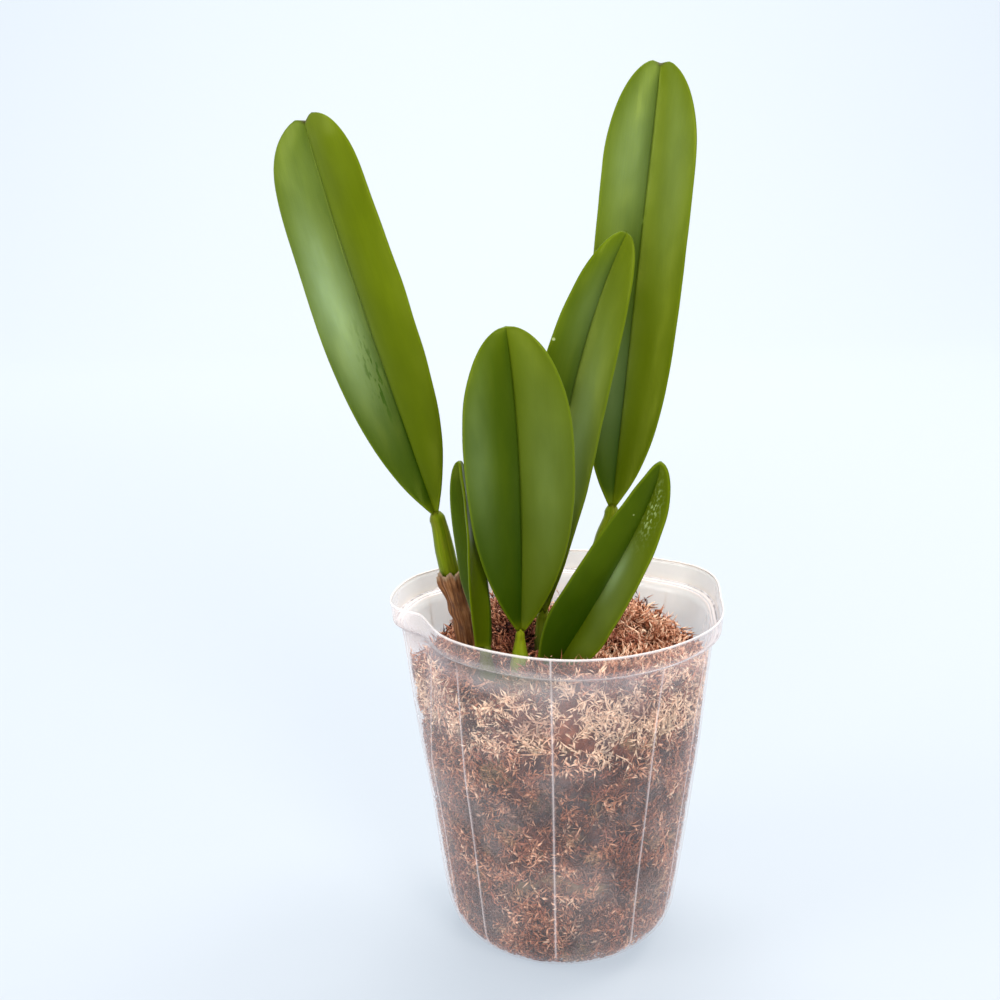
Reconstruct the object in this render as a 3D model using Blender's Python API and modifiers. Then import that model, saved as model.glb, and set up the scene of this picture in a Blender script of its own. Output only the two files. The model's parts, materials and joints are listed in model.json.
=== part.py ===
"""Cattleya orchid growing in dried moss in its soft clear plastic pot.

Metres, +Z up. The origin is the middle of the pot's base, on the surface the pot stands on.
The front of the plant looks towards -Y. Angles round the pot are degrees from the front, towards +X.
"""

import math
import random
from collections import namedtuple

import bmesh
import bpy
import numpy as np
from mathutils import Vector, noise

MM = 0.001
GAP = 0.3 * MM
SHARP_ANGLE = 50

# Pot
POT_HEIGHT = 111.3 * MM
RIM_RADIUS = 52.5 * MM
RIM_BAND = 6.8 * MM
RIM_LEDGE = 2.4 * MM
RIM_LEDGE_RISE = 0.4 * MM
RIM_FOOT = POT_HEIGHT - RIM_BAND
WALL_RADIUS_AT_BASE = 35.2 * MM
WALL_RADIUS_AT_RIM = 49.4 * MM
BASE_CORNER = 13.2 * MM
WALL = 0.8 * MM
RIB_ANGLES = (-157, -121, -92, -63, -41.3, -5.5, 32, 57, 95, 131, 167)
RIB_HALF_ANGLE = 0.9
RIB_HEIGHT = 0.5 * MM
DRAIN_HOLES = 8
DRAIN_CIRCLE = 15.5 * MM
DRAIN_RADIUS = 2.5 * MM
DRAIN_SIDES = 12
COLUMN_STEP = 7.5
POT_CORNER_TURNS = (0, 30, 60, 90)

# Soft bends of the rim: angle, share of the radius, width towards -angle, width towards +angle
RIM_BENDS = (
    (10, 0.045, 22, 20),
    (85, -0.055, 14, 14),
    (120, 0.065, 14, 10),
    (-69, -0.150, 7, 19),
    (-26, -0.030, 12, 12),
    (-130, -0.040, 6, 6),
)
BEND_DEPTH = 45 * MM

# Moss
MOSS_LEVEL = 96 * MM
MOSS_COLUMNS = 48
MOSS_RINGS = 20
MOSS_SIDE_RINGS = 12
MOSS_CORNER_TURNS = (0, 30, 60, 90)
MOSS_RELIEF = 1.2 * MM
MOSS_LUMP = 6 * MM
MOSS_EDGE_DROP = 1.5 * MM
MOSS_INSET = WALL + 0.6 * MM

# Rise and fall of the moss: x, y, spread, height
MOSS_MOUNDS = (
    (24 * MM, 8 * MM, 16 * MM, 6 * MM),
    (-28 * MM, 22 * MM, 12 * MM, 5 * MM),
    (4 * MM, -36 * MM, 20 * MM, 7 * MM),
    (-40 * MM, -26 * MM, 16 * MM, -8 * MM),
    (-50 * MM, 6 * MM, 13 * MM, -8 * MM),
    (50 * MM, 2 * MM, 13 * MM, -8 * MM),
    (44 * MM, 30 * MM, 16 * MM, -8 * MM),
    (0 * MM, 46 * MM, 20 * MM, -5 * MM),
)

# Curled stalks on top of the moss. STRAND_STEPS are their points, from end to end, as shares of
# the half length, and a stalk's ends lie STRAND_SINK below the surface.
STRANDS = 44
STRAND_STEPS = (-1, -0.55, 0, 0.55, 1)
STRAND_RADIUS = 0.5 * MM
STRAND_TAPER = 0.25
STRAND_HALF_LENGTHS = (3 * MM, 5.5 * MM)
STRAND_RISES = (1.5 * MM, 4.5 * MM)
STRAND_CURL = 2 * MM
STRAND_SINK = 1.8 * MM
STRAND_CLEAR_OF_STEM = 6.5 * MM
STRAND_CLEAR_OF_WALL = 7 * MM
LEAF_FOOT_REACH = 8 * MM
MOSS_CEILING = 112 * MM

# Plant
LEAF_THICKNESS = 1.3 * MM
LEAF_ROWS = 18
LEAF_COLUMNS = 6
FOLD_AT_BASE = 70
FOLD_BASE_LENGTH = 0.05
FOLD_EASING = 0.2
NOTCH_WIDTH = 1.8 * MM
NOTCH_LENGTH = 2.5 * MM
RHIZOME_LEVEL = 78 * MM
RHIZOME_RADIUS = 3.4 * MM
RHIZOME_END_TAPER = 0.7
ROOT_RADIUS = 1.4 * MM
ROOT_TAPER = 0.35
ROOT_POINTS = 8
ROOT_WANDER = 3 * MM

# Outline: half_width is the widest half, at the share `widest` of the length. base_curve and
# tip_curve bend the outline below and above it, and neck is the share of the half width left
# where the leaf meets its stem. fold is the V of the two halves. facing is the angle that the
# channel looks to, at the stem and at the tip.
Leaf = namedtuple(
    "Leaf",
    "name foot bend tip half_width widest base_curve tip_curve neck fold facing notch",
)

LEAVES = (
    Leaf("leaf_left_tall", (-37.5, 2, 137.6), (-64, 8, 219), (-73.1, 14, 255.7),
         15.8, 0.73, 3.5, 3.7, 0.11, 14, (1, -30), 1.6),
    Leaf("leaf_left_small", (-22.5, -12, 99.1), (-20, -11.5, 117.6), (-29.6, -11, 156.8),
         8.2, 0.38, 1.3, 1.7, 0.50, 55, (-97, -41), 0),
    Leaf("leaf_front_broad", (-12.3, -10, 103.9), (-10.3, -13.5, 156.9), (-15.3, -17, 196.1),
         16.8, 0.63, 2.6, 2.0, 0.10, 21, (4, 1), 0),
    Leaf("leaf_middle", (-5, 0, 106.1), (0.3, 4, 181), (21, 8, 220.7),
         11.7, 0.44, 1.7, 2.8, 0.20, 25, (-18, 4), 0),
    Leaf("leaf_right_tall", (17.6, 14, 135.8), (24.9, 20, 203.8), (32.9, 26, 270.9),
         14.6, 0.76, 5.1, 2.0, 0.11, 20, (-4, -8), 1.2),
    Leaf("leaf_right_low", (-2, -12, 91.6), (29, -18, 145.5), (27.4, -24, 158.1),
         11.5, 0.25, 1.7, 1.7, 0.55, 35, (-33, -13), 0),
)

# Feet and way points of the stems, in millimetres, with a radius at the foot, at each way point
# and at the leaf
Stem = namedtuple("Stem", "name leaf foot way radii")

STEMS = (
    Stem("stem_left_tall", "leaf_left_tall", (-27.5, 0),
         ((-29, 0, 100), (-32, 0.6, 113), (-35, 1.3, 126)), (2.6, 3.0, 3.1, 3.0, 2.4)),
    Stem("stem_left_small", "leaf_left_small", (-22, -11),
         ((-22.3, -11.7, 90),), (2.6, 3.0, 2.8)),
    Stem("stem_front_broad", "leaf_front_broad", (-12.5, -13),
         ((-12.6, -11.5, 93),), (2.6, 2.7, 2.1)),
    Stem("stem_middle", "leaf_middle", (-5, -5),
         ((-5.3, -3, 94),), (2.6, 2.6, 2.1)),
    Stem("stem_right_tall", "leaf_right_tall", (6, 8),
         ((8, 9.2, 100), (11.4, 11, 113), (14.8, 12.8, 126)), (2.4, 2.7, 2.8, 2.7, 2.2)),
    Stem("stem_right_low", "leaf_right_low", (-4.5, -12.5), (), (3.0, 3.2)),
)
STEM_RISE = 2 * MM
NECK_LENGTH = 3 * MM

# Creeping stem that carries the shoots: one run from left to right and a branch to the back
RHIZOME_RUN = ((-32, 5), (-27.5, 0), (-22, -11), (-12.5, -13), (-4.5, -12.5), (3, -10))
RHIZOME_BRANCH = ((-17, -11), (-5, -5), (6, 8), (9, 14))

# Roots in millimetres: where each leaves the creeping stem, and the angle round the pot, the
# radius and the height of its end
ROOTS = (
    ((-27.5, 0), -150, 19.4, 28.1),
    ((-22, -11), -80, 16.4, 22.2),
    ((-12.5, -13), -10, 23.7, 33.0),
    ((-4.5, -12.5), 60, 18.1, 25.6),
    ((-5, -5), 130, 22.3, 19.2),
)

SHEATH_STEM = "stem_left_tall"
SHEATH_THICKNESS = 0.6 * MM
SHEATH_FOOT = 90 * MM
SHEATH_TOP = 119 * MM
SHEATH_FLARE = 1.3 * MM
SHEATH_SLANT = 0.07
SHEATH_TEAR = 0.03
SHEATH_ROWS = 8
SHEATH_COLUMNS = 12

MATERIALS = {
    "clear_plastic": ((0.86, 0.87, 0.88, 0.35), 0.12),
    "dried_moss": ((0.36, 0.19, 0.13, 1), 0.95),
    "leaf": ((0.10, 0.20, 0.03, 1), 0.32),
    "green_stem": ((0.22, 0.30, 0.05, 1), 0.40),
    "dry_sheath": ((0.17, 0.09, 0.05, 1), 0.80),
    "root": ((0.50, 0.45, 0.33, 1), 0.80),
}


def smoothstep(value):
    value = min(max(value, 0), 1)
    return value * value * (3 - 2 * value)


def clear_scene():
    for old in list(bpy.data.objects):
        bpy.data.objects.remove(old)


def add_collection(name):
    collection = bpy.data.collections.new(name)
    bpy.context.scene.collection.children.link(collection)
    return collection


def make_material(name):
    colour, roughness = MATERIALS[name]
    material = bpy.data.materials.new(name)
    material.use_nodes = True
    shader = material.node_tree.nodes["Principled BSDF"]
    shader.inputs["Base Color"].default_value = colour
    shader.inputs["Roughness"].default_value = roughness
    shader.inputs["Metallic"].default_value = 0
    shader.inputs["Alpha"].default_value = colour[3]
    return material


def add_mesh(name, bm, collection, material=None):
    mesh = bpy.data.meshes.new(name)
    bm.to_mesh(mesh)
    bm.free()
    mesh.shade_smooth()
    mesh.set_sharp_from_angle(angle=math.radians(SHARP_ANGLE))
    obj = bpy.data.objects.new(name, mesh)
    collection.objects.link(obj)
    if material:
        mesh.materials.append(material)
    return obj


def as_cutter(obj):
    obj.hide_render = True
    obj.display_type = "WIRE"
    return obj


def add_solidify(obj, thickness, offset):
    shell = obj.modifiers.new("Solidify", "SOLIDIFY")
    shell.thickness = thickness
    shell.offset = offset
    shell.use_even_offset = True


def add_tube(name, points, radii, collection, material=None, extra=0, resolution=2):
    """A round tube along points. A cutter is `extra` larger all round and at both ends."""
    points = [Vector(point) for point in points]
    points[0] = points[0] + (points[0] - points[1]).normalized() * extra
    points[-1] = points[-1] + (points[-1] - points[-2]).normalized() * extra
    curve = bpy.data.curves.new(name, "CURVE")
    curve.dimensions = "3D"
    curve.bevel_depth = 1
    curve.bevel_resolution = resolution
    curve.use_fill_caps = True
    spline = curve.splines.new("POLY")
    spline.points.add(len(points) - 1)
    for place, point, radius in zip(spline.points, points, radii):
        place.co = (*point, 1)
        place.radius = radius + extra
    guide = bpy.data.objects.new(name, curve)
    collection.objects.link(guide)
    bpy.context.view_layer.update()
    evaluated = guide.evaluated_get(bpy.context.evaluated_depsgraph_get())
    mesh = bpy.data.meshes.new_from_object(evaluated)
    bpy.data.objects.remove(guide)
    bpy.data.curves.remove(curve)
    bm = bmesh.new()
    bm.from_mesh(mesh)
    bpy.data.meshes.remove(mesh)
    bmesh.ops.remove_doubles(bm, verts=bm.verts, dist=0.001 * MM)
    bmesh.ops.recalc_face_normals(bm, faces=bm.faces)
    return add_mesh(name, bm, collection, material)


def unite(obj, pieces):
    """Fuses the pieces, roots sunk in, into obj as one body."""
    operands = add_collection(obj.name + "_pieces")
    for piece in pieces:
        for owner in piece.users_collection:
            owner.objects.unlink(piece)
        operands.objects.link(piece)
    join = obj.modifiers.new("Union", "BOOLEAN")
    join.operation = "UNION"
    join.operand_type = "COLLECTION"
    join.collection = operands
    join.solver = "MANIFOLD"
    bpy.context.view_layer.update()
    evaluated = obj.evaluated_get(bpy.context.evaluated_depsgraph_get())
    joined = bpy.data.meshes.new_from_object(evaluated)
    obj.modifiers.clear()
    material = obj.data.materials[0]
    obj.data = joined
    joined.materials.clear()
    joined.materials.append(material)
    for piece in list(operands.objects):
        bpy.data.objects.remove(piece)
    bpy.data.collections.remove(operands)


def cut(obj, cutters):
    difference = obj.modifiers.new("Cut", "BOOLEAN")
    difference.operation = "DIFFERENCE"
    difference.operand_type = "COLLECTION"
    difference.collection = cutters
    difference.solver = "MANIFOLD"


def wall_line(z):
    """The pot's outer radius at height z, above its base corner and without ribs and bends."""
    return WALL_RADIUS_AT_BASE + (WALL_RADIUS_AT_RIM - WALL_RADIUS_AT_BASE) * z / RIM_FOOT


def corner_point(turn, inset):
    """Radius and height on the base corner, `inset` in from its outside, at 0 to 90 degrees."""
    turn = math.radians(turn)
    z = inset + (BASE_CORNER - inset) * (1 - math.cos(turn))
    radius = wall_line(z) - BASE_CORNER + (BASE_CORNER - inset) * math.sin(turn)
    return radius, z


def bend_factor(angle, z):
    """How far the soft wall is bent out of round near the rim."""
    total = 0
    for centre, share, width_before, width_after in RIM_BENDS:
        turn = (angle - centre + 180) % 360 - 180
        width = width_before if turn < 0 else width_after
        total += share * math.exp(-0.5 * (turn / width) ** 2)
    return 1 + total * max(0, 1 - (POT_HEIGHT - z) / BEND_DEPTH)


def around(angle, radius, z):
    turn = math.radians(angle)
    return Vector((radius * math.sin(turn), -radius * math.cos(turn), z))


def pot_profile():
    """Outer line of the pot, from the middle of its base up to its rim: radius, height."""
    line = [(0, 0)]
    line += [corner_point(turn, 0) for turn in POT_CORNER_TURNS]
    bend_foot = POT_HEIGHT - BEND_DEPTH
    line += [(wall_line(z), z) for z in (bend_foot / 2, bend_foot, RIM_FOOT - 1 * MM, RIM_FOOT)]
    line.append((WALL_RADIUS_AT_RIM + RIM_LEDGE, RIM_FOOT + RIM_LEDGE_RISE))
    line.append((RIM_RADIUS, POT_HEIGHT))
    return line


def pot_angles():
    """Even columns round the pot, with three close ones at each rib."""
    columns = []
    for step in range(int(360 / COLUMN_STEP)):
        angle = -180 + COLUMN_STEP * step
        if all(abs((angle - rib + 180) % 360 - 180) > 2 * RIB_HALF_ANGLE for rib in RIB_ANGLES):
            columns.append((angle, False))
    for rib in RIB_ANGLES:
        columns += [(rib - RIB_HALF_ANGLE, False), (rib, True), (rib + RIB_HALF_ANGLE, False)]
    columns.sort()
    return columns + [(columns[0][0] + 360, columns[0][1])]


def add_pot(collection, cutters, material):
    profile = pot_profile()
    columns = pot_angles()
    bm = bmesh.new()
    bmesh.ops.create_grid(bm, x_segments=len(columns) - 1, y_segments=len(profile) - 1, size=0.5)
    for vertex in bm.verts:
        angle, on_rib = columns[round((vertex.co.x + 0.5) * (len(columns) - 1))]
        radius, z = profile[round((vertex.co.y + 0.5) * (len(profile) - 1))]
        radius *= bend_factor(angle, z)
        if on_rib and BASE_CORNER / 3 < z < RIM_FOOT:
            radius += RIB_HEIGHT
        vertex.co = around(angle, radius, z)
    bmesh.ops.remove_doubles(bm, verts=bm.verts, dist=0.001 * MM)
    pot = add_mesh("pot", bm, collection, material)
    add_solidify(pot, WALL, -1)
    for hole in range(DRAIN_HOLES):
        bm = bmesh.new()
        bmesh.ops.create_cone(
            bm,
            cap_ends=True,
            segments=DRAIN_SIDES,
            radius1=DRAIN_RADIUS,
            radius2=DRAIN_RADIUS,
            depth=6 * WALL,
        )
        drill = as_cutter(add_mesh("drain_hole", bm, cutters))
        drill.location = around(360 * (hole + 0.5) / DRAIN_HOLES, DRAIN_CIRCLE, 0)
    cut(pot, cutters)
    pot.modifiers["Cut"].solver = "EXACT"


def leaf_spine(leaf, share):
    """Point on the midrib and its direction, at a share of the midrib's length."""
    foot, bend, tip = (np.array(place) * MM for place in (leaf.foot, leaf.bend, leaf.tip))
    times = np.linspace(0, 1, 200)[:, None]
    line = (1 - times) ** 2 * foot + 2 * times * (1 - times) * bend + times ** 2 * tip
    length = np.concatenate(([0], np.cumsum(np.linalg.norm(np.diff(line, axis=0), axis=1))))
    time = np.interp(share * length[-1], length, times[:, 0])
    point = (1 - time) ** 2 * foot + 2 * time * (1 - time) * bend + time ** 2 * tip
    along = (1 - time) * (bend - foot) + time * (tip - bend)
    return Vector(point), Vector(along).normalized(), length[-1]


def leaf_outline(leaf, share):
    """Half width as a share of the widest half."""
    if share < leaf.widest:
        rise = 1 - (1 - share / leaf.widest) ** leaf.base_curve
        return leaf.neck + (1 - leaf.neck) * rise
    return math.sqrt(1 - ((share - leaf.widest) / (1 - leaf.widest)) ** leaf.tip_curve)


def leaf_point(leaf, share, side, extra):
    """Point of the blade: share runs from stem to tip, side from -1 to 1 across."""
    point, along, length = leaf_spine(leaf, share)
    facing = math.radians(leaf.facing[0] + (leaf.facing[1] - leaf.facing[0]) * share)
    inward = Vector((math.sin(facing), -math.cos(facing), 0))
    inward = (inward - along * inward.dot(along)).normalized()
    across = along.cross(inward)
    fold = leaf.fold * (1 - FOLD_EASING * share)
    fold += (FOLD_AT_BASE - leaf.fold) * math.exp(-share / FOLD_BASE_LENGTH)
    fold = math.radians(fold)
    reach = leaf.half_width * MM * leaf_outline(leaf, share) + extra
    offset = across * side * reach * math.cos(fold) + inward * abs(side) * reach * math.sin(fold)
    from_tip = (1 - share) * length
    near_tip = (side * reach / NOTCH_WIDTH) ** 2 + (from_tip / NOTCH_LENGTH) ** 2
    return point + offset - along * leaf.notch * MM * math.exp(-near_tip)


def add_leaf(leaf, collection, material=None, extra=0):
    """A folded blade. A cutter is `extra` larger all round."""
    bm = bmesh.new()
    bmesh.ops.create_grid(bm, x_segments=LEAF_COLUMNS, y_segments=LEAF_ROWS, size=0.5)
    for vertex in bm.verts:
        side = 2 * vertex.co.x
        step = vertex.co.y + 0.5
        share = 0.4 * step + 0.6 * math.sin(step * math.pi / 2)
        place = leaf_point(leaf, min(share, 1), side, extra)
        if extra and step < 0.5 / LEAF_ROWS:
            place -= leaf_spine(leaf, 0)[1] * extra
        vertex.co = place
    bmesh.ops.remove_doubles(bm, verts=bm.verts, dist=0.001 * MM)
    bmesh.ops.triangulate(bm, faces=bm.faces)
    obj = add_mesh(leaf.name, bm, collection, material)
    add_solidify(obj, LEAF_THICKNESS + 2 * extra, 0)
    return obj


def stem_path(stem):
    """Points of a stem, from its foot on the rhizome to the seat of its leaf."""
    leaf = next(one for one in LEAVES if one.name == stem.leaf)
    seat, along, _ = leaf_spine(leaf, 0)
    foot = Vector((stem.foot[0] * MM, stem.foot[1] * MM, RHIZOME_LEVEL + RHIZOME_RADIUS + GAP))
    points = [foot, foot + Vector((0, 0, STEM_RISE))]
    points += [Vector(place) * MM for place in stem.way]
    points += [seat - along * NECK_LENGTH, seat - along * GAP]
    radii = [stem.radii[0]] + list(stem.radii) + [stem.radii[-1]]
    return points, [radius * MM for radius in radii]


def add_rhizome(name, collection, material=None, extra=0):
    """The creeping stem with its roots. Returns its tubes, the run of the stem first."""
    tubes = []
    for line in (RHIZOME_RUN, RHIZOME_BRANCH):
        points = [Vector((x * MM, y * MM, RHIZOME_LEVEL)) for x, y in line]
        radii = [RHIZOME_RADIUS] * len(points)
        radii[0] *= RHIZOME_END_TAPER
        radii[-1] *= RHIZOME_END_TAPER
        tubes.append(add_tube(name, points, radii, collection, material, extra))
    for number, ((x, y), turn, reach, level) in enumerate(ROOTS):
        start = Vector((x * MM, y * MM, RHIZOME_LEVEL))
        end = around(turn, reach * MM, level * MM)
        points = []
        radii = []
        for step in range(ROOT_POINTS):
            share = step / (ROOT_POINTS - 1)
            place = start.lerp(end, share)
            wander = smoothstep(share * 3) * ROOT_WANDER
            place.x += wander * noise.noise(Vector((number * 7.3, share * 4, 0.5)))
            place.y += wander * noise.noise(Vector((share * 4, number * 5.1, 2.5)))
            points.append(place)
            radii.append(ROOT_RADIUS * (1 - ROOT_TAPER * share))
        tubes.append(add_tube(name + "_root", points, radii, collection, material, extra))
    return tubes


def sheath_centre(z):
    """The middle of the sheathed stem at height z, and its radius there."""
    stem = next(one for one in STEMS if one.name == SHEATH_STEM)
    points, radii = stem_path(stem)
    heights = [point.z for point in points]
    x, y = (float(np.interp(z, heights, [point[axis] for point in points])) for axis in (0, 1))
    return Vector((x, y, z)), float(np.interp(z, heights, radii))


def add_sheath(collection, material):
    """Dry papery bract wrapped round the lower part of the tall left stem."""
    bm = bmesh.new()
    bmesh.ops.create_grid(bm, x_segments=SHEATH_COLUMNS, y_segments=SHEATH_ROWS, size=0.5)
    for vertex in bm.verts:
        angle = 360 * (vertex.co.x + 0.5)
        turn = math.radians(angle)
        share = vertex.co.y + 0.5
        ragged = 1 + SHEATH_SLANT * math.cos(turn + math.radians(60)) + SHEATH_TEAR * math.sin(3 * turn)
        z = SHEATH_FOOT + (SHEATH_TOP - SHEATH_FOOT) * share * ragged
        centre, radius = sheath_centre(z)
        radius += 2 * GAP + SHEATH_FLARE * smoothstep(share * 4 - 3)
        vertex.co = centre + around(angle, radius, 0)
    bmesh.ops.remove_doubles(bm, verts=bm.verts, dist=0.001 * MM)
    sheath = add_mesh("sheath_left_tall", bm, collection, material)
    add_solidify(sheath, SHEATH_THICKNESS, 1)


def add_sheath_cutter(collection):
    """Room for the sheath where it stands in the moss."""
    length = SHEATH_TOP - SHEATH_FOOT
    centres = [sheath_centre(SHEATH_FOOT + length * share) for share in (0, 0.3, 0.6, 1)]
    points = [centre for centre, _ in centres]
    radii = [radius + 3 * GAP + SHEATH_THICKNESS + SHEATH_FLARE / 3 for _, radius in centres]
    as_cutter(add_tube("sheath_cutter", points, radii, collection, extra=GAP, resolution=3))


def moss_height(x, y):
    z = MOSS_LEVEL
    for mound_x, mound_y, spread, height in MOSS_MOUNDS:
        z += height * math.exp(-((x - mound_x) ** 2 + (y - mound_y) ** 2) / spread ** 2)
    return z


def moss_side(angle, z):
    """Radius of the moss inside the wall."""
    return (wall_line(z) - MOSS_INSET) * bend_factor(angle, z)


def moss_place(angle, ring):
    """Point of the moss body: rings run from the middle of its base up the wall and inwards."""
    relief = MOSS_RELIEF * (0.5 + 0.5 * noise.noise(Vector((angle * 0.13, ring * 0.9, 3.1))))
    corner_rings = len(MOSS_CORNER_TURNS)
    if ring == 0:
        return Vector((0, 0, MOSS_INSET))
    if ring <= corner_rings:
        radius, z = corner_point(MOSS_CORNER_TURNS[ring - 1], MOSS_INSET)
        return around(angle, radius, z)
    edge = around(angle, moss_side(angle, MOSS_LEVEL), 0)
    top = moss_height(edge.x, edge.y) - MOSS_EDGE_DROP
    if ring <= MOSS_SIDE_RINGS:
        rise = (ring - corner_rings) / (MOSS_SIDE_RINGS - corner_rings)
        z = BASE_CORNER + (top - BASE_CORNER) * rise
        return around(angle, moss_side(angle, z) - relief, z)
    share = (MOSS_RINGS - ring) / (MOSS_RINGS - MOSS_SIDE_RINGS)
    place = around(angle, (moss_side(angle, top) - MOSS_RELIEF) * share, 0)
    bump = 2 * MOSS_RELIEF * noise.noise(Vector((place.x, place.y, 0)) / MOSS_LUMP)
    place.z = moss_height(place.x, place.y) + bump
    return place


def add_moss_body(collection, material):
    bm = bmesh.new()
    bmesh.ops.create_uvsphere(bm, u_segments=MOSS_COLUMNS, v_segments=MOSS_RINGS, radius=1)
    for vertex in bm.verts:
        ring = round(math.acos(-vertex.co.z) / math.pi * MOSS_RINGS)
        angle = math.degrees(math.atan2(vertex.co.x, -vertex.co.y))
        vertex.co = moss_place(angle, ring)
    return add_mesh("moss", bm, collection, material)


def near_plant(place):
    """Whether a place on the moss is too near a stem or a leaf base."""
    for stem in STEMS:
        points, _ = stem_path(stem)
        points.append(points[-1] + (points[-1] - points[-2]).normalized() * LEAF_FOOT_REACH)
        for point in points:
            apart = math.hypot(place.x - point.x, place.y - point.y)
            if point.z < MOSS_CEILING and apart < STRAND_CLEAR_OF_STEM:
                return True
    return False


def add_strands(collection, material):
    """Curled stalks of dried moss that stand out of the top, with both ends sunk in."""
    draw = random.Random(5)
    radii = [STRAND_RADIUS * (1 - STRAND_TAPER * abs(step)) for step in STRAND_STEPS]
    strands = []
    while len(strands) < STRANDS:
        angle = draw.uniform(-180, 180)
        reach = (moss_side(angle, MOSS_LEVEL) - STRAND_CLEAR_OF_WALL) * math.sqrt(draw.random())
        middle = around(angle, reach, 0)
        heading = around(draw.uniform(0, 360), draw.uniform(*STRAND_HALF_LENGTHS), 0)
        sideways = Vector((-heading.y, heading.x, 0)).normalized() * STRAND_CURL * draw.uniform(-1, 1)
        rise = draw.uniform(*STRAND_RISES) + STRAND_SINK
        points = []
        for step in STRAND_STEPS:
            point = middle + heading * step + sideways * step * step
            point.z = moss_height(point.x, point.y) - STRAND_SINK + (1 - step * step) * rise
            points.append(point)
        if not any(near_plant(point) for point in points):
            strands.append(add_tube("moss_strand", points, radii, collection, material, resolution=0))
    return strands


def build():
    clear_scene()
    orchid = add_collection("cattleya_orchid")
    pot_cutters = add_collection("pot_cutters")
    moss_cutters = add_collection("moss_cutters")
    materials = {name: make_material(name) for name in MATERIALS}

    add_pot(orchid, pot_cutters, materials["clear_plastic"])
    for leaf in LEAVES:
        add_leaf(leaf, orchid, materials["leaf"])
        as_cutter(add_leaf(leaf, moss_cutters, extra=GAP))
    for stem in STEMS:
        points, radii = stem_path(stem)
        add_tube(stem.name, points, radii, orchid, materials["green_stem"], resolution=3)
        as_cutter(add_tube(stem.name, points, radii, moss_cutters, extra=GAP, resolution=3))
    add_sheath(orchid, materials["dry_sheath"])
    add_sheath_cutter(moss_cutters)
    tubes = add_rhizome("rhizome_and_roots", orchid, materials["root"])
    unite(tubes[0], tubes[1:])
    for tube in add_rhizome("rhizome_cutter", moss_cutters, extra=GAP):
        as_cutter(tube)
    moss = add_moss_body(orchid, materials["dried_moss"])
    unite(moss, add_strands(orchid, materials["dried_moss"]))
    cut(moss, moss_cutters)


build()
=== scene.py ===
"""Looks of the young cattleya orchid in its clear pot.

Metres, +Z up, the plant's front towards -Y. Angles round the pot are degrees from the front,
towards +X. MM turns lengths in mm to metres.
"""

import json
import math
from collections import namedtuple

import bmesh
import bpy
import numpy as np
from mathutils import Euler, Matrix
from mathutils.bvhtree import BVHTree

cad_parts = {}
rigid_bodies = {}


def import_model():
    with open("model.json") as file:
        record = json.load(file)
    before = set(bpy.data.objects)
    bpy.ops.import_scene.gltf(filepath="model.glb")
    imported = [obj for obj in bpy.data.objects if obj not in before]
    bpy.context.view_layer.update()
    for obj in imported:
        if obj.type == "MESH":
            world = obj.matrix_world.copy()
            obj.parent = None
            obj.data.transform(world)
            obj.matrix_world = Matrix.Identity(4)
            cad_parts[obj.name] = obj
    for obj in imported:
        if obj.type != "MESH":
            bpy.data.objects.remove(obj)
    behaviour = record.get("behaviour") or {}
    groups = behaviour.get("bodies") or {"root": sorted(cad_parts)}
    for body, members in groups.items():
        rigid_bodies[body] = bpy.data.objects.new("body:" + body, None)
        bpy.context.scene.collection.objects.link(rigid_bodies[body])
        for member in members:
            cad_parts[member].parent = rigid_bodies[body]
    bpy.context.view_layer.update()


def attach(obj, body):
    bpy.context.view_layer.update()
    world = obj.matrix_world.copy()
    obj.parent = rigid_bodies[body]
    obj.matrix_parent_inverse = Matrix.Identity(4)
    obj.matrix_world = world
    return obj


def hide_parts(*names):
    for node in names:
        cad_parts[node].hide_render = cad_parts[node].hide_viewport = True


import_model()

MM = 0.001

# Camera: its place, its downward pitch and roll in radians, and the lens of a 36 mm wide sensor
CAMERA_PLACE = (-0.01778, -0.34915, 0.22603)
CAMERA_PITCH = 0.2359
CAMERA_ROLL = -0.01798
CAMERA_LENS = 42.56

# Pot, as the CAD model has it
POT_HEIGHT = 111.3 * MM
RIM_RADIUS = 52.5 * MM
RIM_BAND = 6.8 * MM
RIM_FOOT = POT_HEIGHT - RIM_BAND
RIM_LEDGE = 2.4 * MM
WALL_RADIUS_AT_BASE = 35.2 * MM
WALL_RADIUS_AT_RIM = 49.4 * MM
BASE_CORNER = 13.2 * MM
WALL = 0.7 * MM
RIB_ANGLES = (-157, -121, -92, -63, -41.3, -5.5, 32, 57, 95, 131, 167)
RIB_HEIGHT = 0.35 * MM
RIB_WIDTH = 0.3 * MM
DRAIN_HOLES = 8
DRAIN_CIRCLE = 15.5 * MM
DRAIN_RADIUS = 2.5 * MM
RIM_BENDS = (
    (10, 0.045, 22, 20), (85, -0.055, 14, 14), (120, 0.065, 14, 10),
    (-69, -0.15, 7, 19), (-26, -0.03, 12, 12), (-130, -0.04, 6, 6),
)
BEND_DEPTH = 45 * MM

# Moss: the CAD model's level, and mounds and hollows on it: place, spread and height in mm
MOSS_LEVEL = 96 * MM
MOSS_MOUNDS = (
    (24, 8, 16, 6), (-28, 22, 12, 5), (10, -46, 15, 7), (-40, -26, 16, -8), (-50, 6, 13, -8),
    (50, 4, 13, -10), (46, 26, 15, -13), (0, 46, 20, -5), (-22, -27, 13, -10), (-42, 22, 14, -13),
)

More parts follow.
